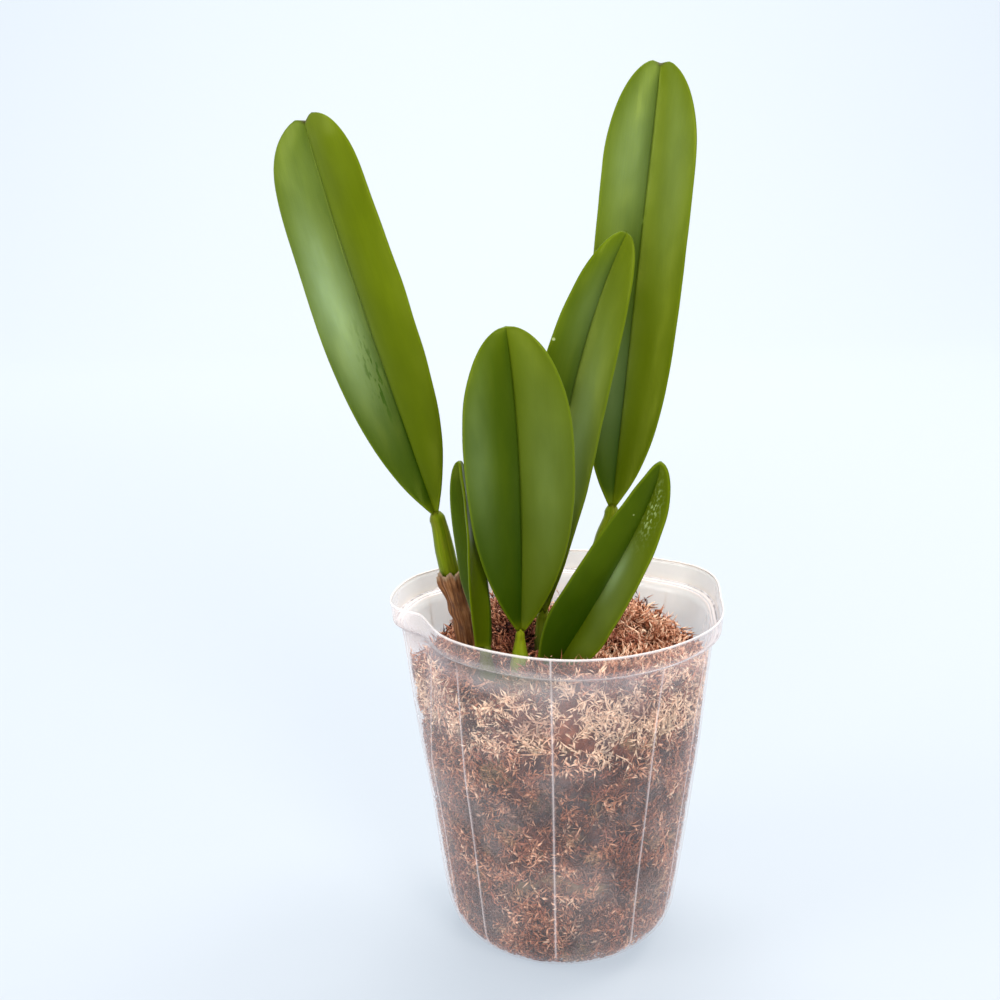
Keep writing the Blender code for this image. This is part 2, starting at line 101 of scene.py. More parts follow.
# Leaves, as the CAD model has them: mm and degrees, facing at the foot and at the tip
FOLD_AT_BASE = 52
FOLD_BASE_LENGTH = 0.05
FOLD_EASING = 0.2
NOTCH_WIDTH = 1.8 * MM
NOTCH_LENGTH = 2.5 * MM
Leaf = namedtuple(
    "Leaf",
    "shoot foot bend tip half_width widest base_curve tip_curve neck fold facing notch",
)
LEAVES = (
    Leaf("left_tall", (-37.5, 2, 137.6), (-64, 8, 219), (-73.1, 14, 255.7),
         15.8, 0.73, 3.5, 3.7, 0.11, 14, (1, -30), 1.6),
    Leaf("left_small", (-22.5, -12, 99.1), (-20, -11.5, 117.6), (-29.6, -11, 156.8),
         8.2, 0.38, 1.3, 1.7, 0.5, 55, (-97, -41), 0),
    Leaf("front_broad", (-12.3, -10, 103.9), (-10.3, -13.5, 156.9), (-15.3, -17, 196.1),
         16.8, 0.63, 2.6, 2.0, 0.1, 21, (4, 1), 0),
    Leaf("middle", (-5, 0, 106.1), (0.3, 4, 181), (21, 8, 220.7),
         11.7, 0.44, 1.7, 2.8, 0.2, 25, (-18, 4), 0),
    Leaf("right_tall", (17.6, 14, 135.8), (24.9, 20, 203.8), (32.9, 26, 270.9),
         14.6, 0.76, 5.1, 2.0, 0.11, 20, (-4, -8), 1.2),
    Leaf("right_low", (-2, -12, 91.6), (29, -18, 145.5), (27.4, -24, 158.1),
         11.5, 0.25, 1.7, 1.7, 0.55, 35, (-33, -13), 0),
)
LEAF_ROWS = 100
LEAF_COLUMNS = 36
MIDRIB_THICKNESS = 2.0 * MM
MARGIN_THICKNESS = 0.9 * MM
GROOVE_DEPTH = 0.3 * MM
GROOVE_WIDTH = 0.28 * MM
CROWN = 0.075
EDGE_WAVE = 0.25 * MM
BLADE_WAVE = 0.18 * MM
DARK_TIP_WIDTH = 1.6 * MM
DARK_TIP_LENGTH = 1.3 * MM

# Marks on two leaves: which leaf, and the share of its length, side, length and width of the spot
MARKS = {
    "wrinkled": ("left_tall", 0.36, -0.22, 0.1, 0.16),
    "scuffed": ("right_low", 0.8, 0.42, 0.1, 0.22),
}

# Painted sheen on the leaves, a painted reflection of the bright room on the wax: share of the
# length, side, length, width and strength of each patch
PAINTED_SHEEN = {
    "left_tall": ((0.56, -0.52, 0.22, 0.38, 1.0), (0.9, -0.35, 0.1, 0.5, 0.12)),
    "front_broad": ((0.62, -0.76, 0.24, 0.22, 0.25), (0.55, 0.55, 0.36, 0.4, 0.16)),
    "right_tall": ((0.8, -0.45, 0.2, 0.42, 0.42), (0.3, -0.4, 0.16, 0.4, 0.3),
                   (0.78, 0.6, 0.2, 0.3, 0.25)),
    "right_low": ((0.5, 0.22, 0.11, 0.2, 0.55), (0.4, 0.6, 0.2, 0.3, 0.1)),
    "middle": ((0.45, 0.45, 0.3, 0.4, 0.35), (0.8, -0.3, 0.12, 0.4, 0.2)),
}

# Stems: feet and way points in mm, radii in mm
Stem = namedtuple("Stem", "shoot foot way radii")
STEMS = (
    Stem("left_tall", (-27.5, 0),
         ((-29, 0, 100), (-32, 0.6, 113), (-35, 1.3, 126)), (2.6, 3, 3.1, 3, 2.4)),
    Stem("left_small", (-22, -11), ((-22.3, -11.7, 90),), (2.5, 2.5, 1.9)),
    Stem("front_broad", (-12.5, -13), ((-12.6, -11.5, 93),), (3.0, 3.3, 2.5, 1.0)),
    Stem("middle", (-5, -5), ((-5.3, -3, 94),), (2.6, 2.6, 2.1)),
    Stem("right_tall", (6, 8),
         ((8, 9.2, 100), (11.4, 11, 113), (14.8, 12.8, 126)), (2.4, 2.7, 2.8, 2.7, 2.2)),
    Stem("right_low", (-4.5, -12.5), (), (3.0, 3.2)),
)
STEM_FOOT = 81.7
# Below about this height the stems get painted contact shade near the moss
CONTACT_SHADE_LEVEL = 106 * MM
STEM_NECK = 3 * MM
STEM_OVERLAP = 1.2 * MM
STEM_ROWS = 64
STEM_COLUMNS = 28
COLLAR_BELOW = 1.5 * MM
COLLAR_WIDTH = 0.7 * MM
COLLAR_RISE = 0.05 * MM

# Sheath round the tall left stem
SHEATH_FOOT = 91 * MM
SHEATH_TOP = 119.5 * MM
SHEATH_TEAR = 0.9 * MM
SHEATH_THICKNESS = 0.35 * MM
SHEATH_FLARE = 1.0 * MM
SHEATH_COLUMNS = 90
SHEATH_ROWS = 44

# Loose moss: a core painted dark as the shade between strands, and clusters of strands with small
# leaves on them
CORE_INSET = 2.4 * MM
CORE_DROP = 2.0 * MM
CORE_SIDE_RINGS = 44
CORE_TOP_RINGS = 25
CORE_COLUMNS = 220
STRAND_POINTS = 6
STRAND_CURLS = (0.03, 0.14)
SPREAD_STEPS = (0.754877666, 0.569840291)
WALL_CLUSTERS = 1375
STRANDS_PER_WALL_CLUSTER = 4
WALL_LEAFLETS = 10
TOP_CLUSTERS = 400
STRANDS_PER_TOP_CLUSTER = 8
TOP_LEAFLETS = 7
PLANT_CLEARANCE = 1.5 * MM

# Tint of the moss, and how much paler it is near the top of the wall: partly its own tone, partly
# painted light from above
MOSS_TINT = 0.43
PALE_AND_LIT_FOOT = 72 * MM
PALE_AND_LIT_RISE = 12 * MM
PALE_AND_LIT_TINT = 0.62

# Looks of the pot: lip, ledge (rise and way out in mm, how thick it looks, which also paints
# its highlight), seam, and the columns of points at a rib, in degrees
LIP_RADIUS = 0.25 * MM
LIP_THICK_AND_HIGHLIGHT = 0.65
LEDGE_LINE = ((-0.9, 0, 0.1), (-0.4, 0.1, 0.5), (-0.1, 0.6, 0.9),
              (0.1, 1.6, 0.8), (0.4, 2.2, 0.5), (0.9, 2.42, 0.1))
RIB_THICK_AND_HIGHLIGHT = 0.55
SEAM_ANGLE = -5.5
RIB_STEPS = (-1.5, -0.95, -0.6, -0.4, -0.2, 0, 0.2, 0.4, 0.6, 0.95, 1.5)

# Veil on the clear plastic: its least and most, and what each cause adds
VEIL_LOW = 0.035
VEIL_HIGH = 0.075
DAMP_VEIL = 0.03
FOG_AND_SHADE_VEIL = 0.42
BACKLIT_PALE_VEIL = 0.36
GRAZING_VEIL = 0.4
THICK_AND_HIGHLIGHT_VEIL = 0.7

# Dark veil on the front of the wall above the moss, partly damp fog and partly painted shade of the
# leaves, greener where the stems stand behind; and the back of the wall painted pale as lit
FOG_SHADE_ANGLE = -42
FOG_SHADE_SPREAD = 40
FOG_SHADE_ALL_ROUND = 0.35
FOG_SHADE_FOOT = 96 * MM
FOG_SHADE_RISE = 8 * MM
FOG_SHADE_TOP = RIM_FOOT + 3 * MM
FOG_SHADE_FALL = 4 * MM
GREEN_SHADE_ANGLE = -18
GREEN_SHADE_SPREAD = 16
BACKLIT_PALE_START = 65
BACKLIT_PALE_TURN = 60
BACKLIT_PALE_FOOT = 84 * MM
BACKLIT_PALE_RISE = 10 * MM

# Studio
FLOOR_COLOUR = (0.22, 0.22, 0.22)
FLOOR_GLOW_NEAR = (0.42, 0.485, 0.56)
FLOOR_GLOW_FAR = (0.505, 0.57, 0.64)
WORLD_COLOUR = (0.92, 0.96, 1.0)
WORLD_FRONT = 0.42
WORLD_BACK = 1.0
LIGHTS = (
    ("key", (0.75, 0.35, 1.15), 0.6, 9.0, (1.0, 0.98, 0.95), (0, 0, 0.11)),
    ("front", (0.6, -1.25, 0.85), 0.6, 14.0, (1, 1, 1), (0, 0, 0.14)),
    ("low", (-0.45, -1.5, 0.3), 0.8, 10.5, (1.0, 0.97, 0.94), (0, 0, 0.07)),
    ("side", (-1.2, -0.5, 0.8), 0.7, 9.0, (1, 1, 1), (0, 0, 0.14)),
    ("backdrop", (0.0, 1.0, 2.8), 1.5, 105.0, (0.95, 0.98, 1.0), (0, 2.5, 1.1)),
)


def smoothstep(value):
    value = np.clip(value, 0, 1)
    return value * value * (3 - 2 * value)


def add_object(name, data):
    obj = bpy.data.objects.new(name, data)
    bpy.context.scene.collection.objects.link(obj)
    return obj


def make_object(name, verts, faces, material, attributes):
    """A smooth-shaded mesh object from points and faces, with a number or vector for each point."""
    verts = verts.reshape(-1, 3)
    mesh = bpy.data.meshes.new(name)
    mesh.from_pydata(verts.tolist(), [], faces)
    mesh.validate()
    mesh.shade_smooth()
    for key, values in attributes.items():
        plain = values.size == len(verts)
        layer = mesh.attributes.new(key, "FLOAT" if plain else "FLOAT_VECTOR", "POINT")
        values = values.astype(np.float32).ravel()
        layer.data.foreach_set("value" if plain else "vector", values)
    mesh.materials.append(material)
    obj = add_object(name, mesh)
    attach(obj, "root")
    return obj


def grid_faces(rows, columns, start=0, closed=False, flipped=False):
    """Quads of a grid of points laid out row by row."""
    r = np.arange(rows - 1)[:, None]
    c = np.arange(columns if closed else columns - 1)[None, :]
    a = start + r * columns + c
    b = start + r * columns + (c + 1) % columns
    d = a + columns
    e = b + columns
    order = (a, d, e, b) if flipped else (a, b, e, d)
    return np.stack(np.broadcast_arrays(*order), -1).reshape(-1, 4).tolist()


def capped_faces(rows, columns):
    """Faces of a tube of closed rows with a lid on each end."""
    faces = grid_faces(rows, columns, closed=True)
    faces.append(list(range(columns))[::-1])
    faces.append([(rows - 1) * columns + column for column in range(columns)])
    return faces


def vectors_of(*parts):
    return np.stack(np.broadcast_arrays(*parts), -1)


def unit(vectors):
    return vectors / np.linalg.norm(vectors, axis=-1, keepdims=True)


def lengths_along(line):
    steps = np.linalg.norm(np.diff(line, axis=0), axis=1)
    return np.concatenate(([0], np.cumsum(steps)))


def lumps(points, size, seed):
    """Smooth bumps from -1 to 1 in space: a few crossed waves of about the given size."""
    draw = np.random.default_rng(seed)
    total = np.zeros(points.shape[:-1])
    for _ in range(6):
        direction = unit(draw.normal(size=3)) * 2 * math.pi / (size * draw.uniform(0.7, 1.5))
        total += np.sin(points @ direction + draw.uniform(0, 2 * math.pi))
    return total / 3


# Shader helpers


def new_material(name):
    material = bpy.data.materials.new(name)
    material.use_nodes = True
    tree = material.node_tree
    return material, tree, tree.nodes["Principled BSDF"]


def set_inputs(tree, node, inputs):
    """Links a node's sockets or sets their plain values, by name or number. Colours are opaque."""
    for key, value in inputs.items():
        socket = node.inputs[key]
        if isinstance(value, bpy.types.NodeSocket):
            tree.links.new(value, socket)
        else:
            socket.default_value = (*value, 1) if socket.type == "RGBA" else value


def add_node(tree, kind, inputs=None, **settings):
    node = tree.nodes.new("ShaderNode" + kind)
    for key, value in settings.items():
        setattr(node, key, value)
    set_inputs(tree, node, inputs or {})
    return node


def attribute(tree, name, output="Fac"):
    return add_node(tree, "Attribute", attribute_name=name).outputs[output]


def object_place(tree):
    return add_node(tree, "TexCoord").outputs["Object"]


def coordinate(tree, vector, axis):
    return add_node(tree, "SeparateXYZ", {0: vector}).outputs[axis]


def maths(tree, operation, a, b=0.0, c=0.0):
    return add_node(tree, "Math", {0: a, 1: b, 2: c}, operation=operation).outputs[0]


def stretch(tree, value, low, high, to_low=0.0, to_high=1.0):
    """A smooth step of a value between two limits, to a range of its own."""
    inputs = {1: low, 2: high, 3: to_low, 4: to_high, "Value": value}
    return add_node(tree, "MapRange", inputs, interpolation_type="SMOOTHSTEP").outputs[0]


def blend_colours(tree, share, a, b):
    return add_node(tree, "Mix", {0: share, 6: a, 7: b}, data_type="RGBA").outputs[2]


def layered(tree, colour, layers):
    """Lays further colours over a first one, each with the share that it covers."""
    for share, layer in layers:
        colour = blend_colours(tree, share, colour, layer)
    return colour


def scaled(tree, where, factors):
    return add_node(tree, "Mapping", {"Vector": where, "Scale": factors}).outputs[0]


def noise(tree, where, scale, detail=3.0, roughness=0.5):
    """Noise of one scale, or of a scale for each axis."""
    if isinstance(scale, tuple):
        where, scale = scaled(tree, where, scale), 1.0
    inputs = {"Vector": where, "Scale": scale, "Detail": detail, "Roughness": roughness}
    return add_node(tree, "TexNoise", inputs).outputs["Fac"]


def colour_ramp(tree, value, stops):
    ramp = add_node(tree, "ValToRGB", {"Fac": value})
    stops = [(position, (*colour, 1)) for position, colour in stops]
    elements = ramp.color_ramp.elements
    elements[0].position, elements[0].color = stops[0]
    elements[1].position, elements[1].color = stops[-1]
    for position, colour in stops[1:-1]:
        elements.new(position).color = colour
    return ramp.outputs["Color"]


def bump(tree, shader, height, strength, distance):
    inputs = {"Height": height, "Strength": strength, "Distance": distance}
    tree.links.new(add_node(tree, "Bump", inputs).outputs[0], shader.inputs["Normal"])


# Materials


def leaf_material():
    """Waxy green, paler with height partly as painted light: lengthwise veins, a midrib with a
    painted-shade line, a yellow-green margin, painted light and shade on its halves, painted sheen.
    """
    material, tree, shader = new_material("cattleya_leaf")
    where = attribute(tree, "leaf_mm", "Vector")
    along = attribute(tree, "leaf_share")
    side = attribute(tree, "leaf_side")
    margin = attribute(tree, "margin_mm")
    height = coordinate(tree, object_place(tree), 2)
    mottle = noise(tree, where, (0.13, 0.035, 1))
    # Paler higher up: partly the leaves' own tone, partly painted light from above and painted
    # shade low among the crowded leaves.
    level = maths(tree, "SUBTRACT", stretch(tree, height, 0.095, 0.265, 0.1, 0.7), 0.16)
    colour = colour_ramp(tree, maths(tree, "MULTIPLY_ADD", mottle, 0.5, level), (
        (0.05, (0.017, 0.037, 0.001)), (0.35, (0.038, 0.066, 0.001)),
        (0.65, (0.07, 0.106, 0.002)), (0.95, (0.122, 0.173, 0.004)),
    ))
    veins = noise(tree, where, (2.6, 0.03, 1), 2)
    # Painted light and shade: the half on one side is painted lighter and yellower as lit, the
    # other half painted darker by the midrib and towards the foot.
    painted_lit_half = stretch(tree, side, -0.05, 0.08, 0, 0.32)
    shade_by_side = stretch(tree, side, -0.35, -0.08, 0, 0.45)
    shade = maths(tree, "ADD", shade_by_side, stretch(tree, along, 0.55, 0.15, 0, 0.55))
    shade = maths(tree, "MULTIPLY", shade, stretch(tree, side, 0.02, -0.01))
    # Painted sheen: pale bluish patches of painted reflection on the waxy blade.
    painted_sheen = stretch(tree, mottle, 0.3, 0.7, 0.75, 1.1)
    painted_sheen = maths(tree, "MULTIPLY", attribute(tree, "painted_sheen"), painted_sheen)
    midrib = maths(tree, "ABSOLUTE", coordinate(tree, where, 0))
    specks = add_node(tree, "TexVoronoi", {"Vector": where, "Scale": 0.055}, feature="F1")
    wrinkle = stretch(tree, noise(tree, where, (1.1, 0.22, 1)), 0.5, 0.62)
    scuff = stretch(tree, noise(tree, where, (1.4, 0.7, 1), 4), 0.48, 0.66)
    colour = layered(tree, colour, (
        (stretch(tree, veins, 0.4, 0.75, 0, 0.18), (0.03, 0.07, 0.002)),
        (painted_lit_half, (0.105, 0.128, 0.001)),
        (shade, (0.016, 0.04, 0.0005)),
        (painted_sheen, (0.205, 0.29, 0.13)),
        # Dark line along the midrib: painted shade in its groove.
        (stretch(tree, midrib, 0.32, 0.05, 0, 0.55), (0.02, 0.045, 0.003)),
        (stretch(tree, along, 0.05, 0.0, 0, 0.6), (0.13, 0.165, 0.004)),
        (stretch(tree, margin, 0.8, 0.2, 0, 0.32), (0.15, 0.205, 0.004)),
        (stretch(tree, specks.outputs["Distance"], 0.034, 0.02, 0, 0.8), (0.5, 0.56, 0.25)),
        (maths(tree, "MULTIPLY", wrinkle, attribute(tree, "wrinkled")), (0.012, 0.05, 0.002)),
        (maths(tree, "MULTIPLY", scuff, attribute(tree, "scuffed")), (0.28, 0.36, 0.13)),
        (attribute(tree, "tip_dark"), (0.035, 0.02, 0.012)),
    ))
    smear = noise(tree, where, (0.3, 0.06, 1))
    set_inputs(tree, shader, {
        "Base Color": colour,
        "Roughness": stretch(tree, smear, 0.3, 0.75, 0.28, 0.46),
        "Specular IOR Level": 0.19,
        "Specular Tint": (0.82, 0.95, 0.15),
        "Subsurface Weight": 0.08,
        "Subsurface Radius": (0.8, 1.0, 0.1),
        "Subsurface Scale": 0.001,
    })
    bump(tree, shader, maths(tree, "ADD", veins, noise(tree, where, 2.2)), 0.18, 0.0001)
    return material


def stem_material():
    """Yellow-green skin with fine lengthwise lines, a brownish mark at the collar and painted
    contact shade near the moss.
    """
    material, tree, shader = new_material("green_stem")
    where = attribute(tree, "stem_mm", "Vector")
    near = attribute(tree, "leaf_near")
    lines = noise(tree, where, (1.6, 0.05, 1))
    colour = colour_ramp(tree, lines, (
        (0.3, (0.068, 0.11, 0.002)), (0.55, (0.12, 0.158, 0.002)),
        (0.75, (0.175, 0.205, 0.004)),
    ))
    patches = stretch(tree, noise(tree, where, (0.25, 0.12, 1), 2), 0.45, 0.7, 0, 0.5)
    joint = stretch(tree, attribute(tree, "stem_share"), 0.972, 0.995, 0, 0.55)
    colour = layered(tree, colour, (
        (near, (0.185, 0.225, 0.004)),
        (patches, (0.11, 0.105, 0.01)),
        # Painted contact shade: darker green-brown low down where the stem meets the moss.
        (maths(tree, "MULTIPLY", attribute(tree, "contact_shade"), 0.75), (0.04, 0.05, 0.008)),
        (maths(tree, "MULTIPLY", joint, stretch(tree, near, 0.1, 0)), (0.09, 0.07, 0.01)),
    ))
    set_inputs(tree, shader, {
        "Base Color": colour,
        "Roughness": 0.42,
        "Specular IOR Level": 0.25,
        "Specular Tint": (0.82, 0.95, 0.15),
    })
    bump(tree, shader, lines, 0.3, 0.00015)
    return material


def sheath_material():
    """Dry brown bract: streaks along it, darker blotches, pale at the torn rim."""
    material, tree, shader = new_material("dry_sheath")
    where = attribute(tree, "sheath_mm", "Vector")
    streaks = noise(tree, where, (1.5, 0.1, 1), 5, 0.6)
    colour = colour_ramp(tree, streaks, (
        (0.32, (0.04, 0.013, 0.004)), (0.5, (0.15, 0.054, 0.014)),
        (0.68, (0.34, 0.16, 0.064)),
    ))
    blotches = stretch(tree, noise(tree, where, (0.4, 0.25, 1)), 0.5, 0.75, 0, 0.7)
    torn_rim = stretch(tree, attribute(tree, "sheath_share"), 0.93, 1.0, 0, 0.5)
    colour = layered(tree, colour, (
        (blotches, (0.05, 0.022, 0.009)),
        (torn_rim, (0.4, 0.3, 0.19)),
    ))
    set_inputs(tree, shader, {"Base Color": colour, "Roughness": 0.62, "Specular IOR Level": 0.25})
    bump(tree, shader, streaks, 0.7, 0.0004)
    return material


def moss_material():
    """Dried moss: a tint for each strand, from dark red-brown to cream, and coloured patches."""
    material, tree, shader = new_material("dried_moss")
    tint = attribute(tree, "tint")
    place = object_place(tree)
    specks = noise(tree, place, 700, 3, 0.6)
    mixed = maths(tree, "MULTIPLY_ADD", specks, 0.4, maths(tree, "SUBTRACT", tint, 0.2))
    colour = colour_ramp(tree, mixed, (
        (0.02, (0.03, 0.006, 0.004)), (0.22, (0.13, 0.036, 0.018)),
        (0.42, (0.32, 0.104, 0.05)), (0.6, (0.56, 0.24, 0.13)),
        (0.75, (0.88, 0.49, 0.32)), (0.9, (1.0, 0.69, 0.48)),
    ))
    lower = stretch(tree, coordinate(tree, place, 2), 0.092, 0.078)
    olive = stretch(tree, noise(tree, place, 105, 2), 0.56, 0.68, 0, 0.4)
    crimson = stretch(tree, noise(tree, place, 85, 2), 0.44, 0.33, 0, 0.4)
    stained = stretch(tree, tint, 0.15, 0.45)
    gloom = stretch(tree, noise(tree, place, 68, 4, 0.6), 0.53, 0.63, 0, 0.65)
    colour = layered(tree, colour, (
        (maths(tree, "MULTIPLY", olive, lower), (0.36, 0.27, 0.13)),
        (maths(tree, "MULTIPLY", crimson, stained), (0.28, 0.065, 0.055)),
        (maths(tree, "MULTIPLY", gloom, lower), (0.055, 0.052, 0.058)),
    ))
    set_inputs(tree, shader, {"Base Color": colour, "Roughness": 0.85, "Specular IOR Level": 0.2})
    bump(tree, shader, specks, 0.5, 0.0003)
    return material


def root_material():
    """Pale spongy root skin with small rings."""
    material, tree, shader = new_material("orchid_root")
    rings = noise(tree, object_place(tree), 350, 4)
    pale, dark = (0.62, 0.57, 0.43), (0.3, 0.27, 0.17)
    colour = colour_ramp(tree, rings, ((0.35, dark), (0.65, pale)))
    set_inputs(tree, shader, {"Base Color": colour, "Roughness": 0.75})
    bump(tree, shader, rings, 0.4, 0.0003)
    return material


def plastic_material():
    """Soft clear plastic: faintly milky, less clear where damp or seen edge on, and where thick,
    with painted highlights there; painted light on the far wall and a dark veil of painted shade in
    front.
    """
    material, tree, shader = new_material("clear_plastic")
    place = object_place(tree)
    height = coordinate(tree, place, 2)
    # Painted light: thick parts also carry painted highlights, the far wall is painted pale as if
    # lit from behind, and a dark veil on the front is partly damp fog and partly painted shade.
    thick_and_highlight, backlit_pale, fog_and_shade = (attribute(tree, name) for name in ("thick_and_highlight", "backlit_pale", "fog_and_shade"))
    haze = noise(tree, place, 45)
    grazing = add_node(tree, "LayerWeight", {"Blend": 0.35}).outputs["Facing"]
    droplets = noise(tree, scaled(tree, place, (1, 1, 0.4)), 160, 4, 0.6)
    damp = stretch(tree, droplets, 0.3, 0.7, 0.5, 1.0)
    veil = stretch(tree, haze, 0.35, 0.7, VEIL_LOW, VEIL_HIGH)
    for share, weight in (
        (maths(tree, "MULTIPLY", stretch(tree, height, 0.084, 0.102), damp), DAMP_VEIL),
        (maths(tree, "MULTIPLY", fog_and_shade, stretch(tree, droplets, 0.3, 0.7, 0.6, 1.0)), FOG_AND_SHADE_VEIL),
        (backlit_pale, BACKLIT_PALE_VEIL),
        (maths(tree, "POWER", grazing, 3.0), GRAZING_VEIL),
        (thick_and_highlight, THICK_AND_HIGHLIGHT_VEIL),
    ):
        veil = maths(tree, "MULTIPLY_ADD", share, weight, veil)
    # Colour of the thick parts and their painted highlight: cream at the rim, pinkish below.
    cream = stretch(tree, height, 0.103, 0.107)
    cream = blend_colours(tree, cream, (0.84, 0.7, 0.67), (0.93, 0.86, 0.8))
    # Dark veil: partly damp fog, partly painted shade, greener where it stands for the shaded stems
    # behind.
    green = attribute(tree, "green_shade_veil")
    fog_shade_colour = blend_colours(tree, green, (0.22, 0.165, 0.17), (0.135, 0.155, 0.09))
    colour = blend_colours(tree, haze, (0.84, 0.73, 0.75), (0.96, 0.87, 0.87))
    colour = layered(tree, colour, (
        (backlit_pale, (0.86, 0.79, 0.7)),
        (thick_and_highlight, cream),
        (fog_and_shade, fog_shade_colour),
    ))
    scratches = noise(tree, scaled(tree, place, (1, 1, 0.15)), 600, 2)
    set_inputs(tree, shader, {
        "Base Color": colour,
        "Alpha": maths(tree, "MINIMUM", veil, 0.95),
        "Roughness": stretch(tree, scratches, 0.3, 0.7, 0.1, 0.26),
        "Specular IOR Level": 0.8,
    })
    bump(tree, shader, noise(tree, scaled(tree, place, (1, 1, 0.4)), 70, 2), 0.25, 0.0015)
    return material


# The plant


def spine(leaf, shares):
    """Points on a leaf's midrib and their directions, at shares of its length."""
    foot, bend, tip = (np.array(place) * MM for place in (leaf.foot, leaf.bend, leaf.tip))

    def curve(t):
        return (1 - t) ** 2 * foot + 2 * t * (1 - t) * bend + t ** 2 * tip

    times = np.linspace(0, 1, 400)[:, None]
    length = lengths_along(curve(times))
    time = np.interp(shares * length[-1], length, times[:, 0])[:, None]
    return curve(time), unit((1 - time) * (bend - foot) + time * (tip - bend)), length[-1]


def outline(leaf, shares):
    """Share of a leaf's half width along it: out from the neck, then round to the tip."""
    below = 1 - np.clip(1 - shares / leaf.widest, 0, 1) ** leaf.base_curve
    below = leaf.neck + (1 - leaf.neck) * below
    above = np.clip((shares - leaf.widest) / (1 - leaf.widest), 0, 1) ** leaf.tip_curve
    return np.where(shares < leaf.widest, below, np.sqrt(np.clip(1 - above, 0, 1)))


def leaf_sheet(leaf, shares, sides):
    """Middle surface of a blade as a grid of points, with its half width in metres."""
    points, along, length = spine(leaf, shares)
    facing = np.radians(leaf.facing[0] + (leaf.facing[1] - leaf.facing[0]) * shares)
    inward = vectors_of(np.sin(facing), -np.cos(facing), 0.0)
    inward = unit(inward - along * (inward * along).sum(1, keepdims=True))
    across = np.cross(along, inward)
    fold = leaf.fold * (1 - FOLD_EASING * shares)
    fold = np.radians(fold + (FOLD_AT_BASE - leaf.fold) * np.exp(-shares / FOLD_BASE_LENGTH))
    reach = leaf.half_width * MM * outline(leaf, shares)
    out = reach[:, None] * sides
    rise = np.abs(out) * np.sin(fold)[:, None]
    from_tip = ((1 - shares) * length)[:, None]
    notch = leaf.notch * MM * np.exp(-(out / NOTCH_WIDTH) ** 2 - (from_tip / NOTCH_LENGTH) ** 2)
    sheet = points[:, None] + across[:, None] * (out * np.cos(fold)[:, None])[..., None]
    sheet += inward[:, None] * rise[..., None] - along[:, None] * notch[..., None]
    return sheet, out, length


def make_leaf(leaf, seed, material):
    """A thick blade: crowned halves, a groove along the midrib and round thin margins."""
    steps = np.linspace(0, 1, LEAF_ROWS)
    shares = 0.4 * steps + 0.6 * np.sin(steps * math.pi / 2)
    sides = np.sin(np.linspace(-1, 1, LEAF_COLUMNS + 1) * math.pi / 2)
    sides = np.sign(sides) * np.abs(sides) ** 1.6
    sheet, out, length = leaf_sheet(leaf, shares, sides)
    normal = np.cross(np.gradient(sheet, axis=1), np.gradient(sheet, axis=0))
    normal = normal / np.maximum(np.linalg.norm(normal, axis=-1, keepdims=True), 1e-12)
    normal[0] = normal[1]
    normal[-1] = normal[-2]
    a = np.abs(sides)[None, :]
    reach = np.abs(out).max(1)[:, None]
    crown = CROWN * reach * np.sin(np.pi * a)
    wave = EDGE_WAVE * a ** 2 * lumps(sheet, 28 * MM, seed)
    wave = wave + BLADE_WAVE * lumps(sheet, 14 * MM, seed + 9)
    before_tip = smoothstep((1 - shares) * 12)[:, None, None]
    middle = sheet + normal * (crown + wave)[..., None] * before_tip
    round_tip = np.sqrt(np.clip(1 - (2 * np.clip(shares, 0.5, 1) - 1) ** 60, 0, 1))
    ends = round_tip * np.sqrt(smoothstep(shares * 60))
    thickness = MARGIN_THICKNESS + (MIDRIB_THICKNESS - MARGIN_THICKNESS) * (1 - a) ** 1.2
    thickness = thickness * np.sqrt(np.clip(1 - a ** 14, 0, 1)) * ends[:, None]
    groove = (ends * smoothstep(shares * 30))[:, None]
    groove = GROOVE_DEPTH * np.exp(-np.abs(out) / GROOVE_WIDTH) * groove
    upper = middle + normal * (thickness / 2 - groove * 0.8)[..., None]
    lower = middle - normal * (thickness / 2 + groove * 0.4)[..., None]
    rows, columns = out.shape
    faces = grid_faces(rows, columns, flipped=True)
    faces += grid_faces(rows, columns, rows * columns)
    shares, sides = np.broadcast_arrays(shares[:, None], sides[None, :])
    to_tip = (1 - shares) * length
    dark = np.exp(-(out / DARK_TIP_WIDTH) ** 2 - (to_tip / DARK_TIP_LENGTH) ** 2)

    def spot(at_share, at_side, long, wide):
        return np.exp(-((shares - at_share) / long) ** 2 - ((sides - at_side) / wide) ** 2)

    # Patches of painted sheen, a painted reflection on the blade.
    painted_sheen = np.zeros(out.shape)
    for *patch, strength in PAINTED_SHEEN.get(leaf.shoot, ()):
        painted_sheen += strength * spot(*patch)
    fields = {
        "leaf_mm": vectors_of(out / MM, shares * length / MM, 40.0 * seed),
        "leaf_share": shares,
        "leaf_side": sides,
        "margin_mm": np.minimum((reach - np.abs(out)) / MM, to_tip / MM),
        "tip_dark": dark * (leaf.notch > 0),
        "painted_sheen": np.clip(painted_sheen, 0, 1),
    }
    for mark, (owner, *patch) in MARKS.items():
        fields[mark] = spot(*patch) * (owner == leaf.shoot)
    attributes = {key: np.stack([field] * 2) for key, field in fields.items()}
    name = "leaf_" + leaf.shoot
    verts = np.stack([upper, lower])
    obj = make_object(name + "_blade", verts, faces, material, attributes)
    weld(obj)
    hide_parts(name)
    return obj


def weld(obj):
    """Joins points that lie on each other, such as the two faces of a blade at its margin."""
    bm = bmesh.new()
    bm.from_mesh(obj.data)
    bmesh.ops.remove_doubles(bm, verts=bm.verts, dist=0.002 * MM)
    bmesh.ops.recalc_face_normals(bm, faces=bm.faces)
    bm.to_mesh(obj.data)
    bm.free()


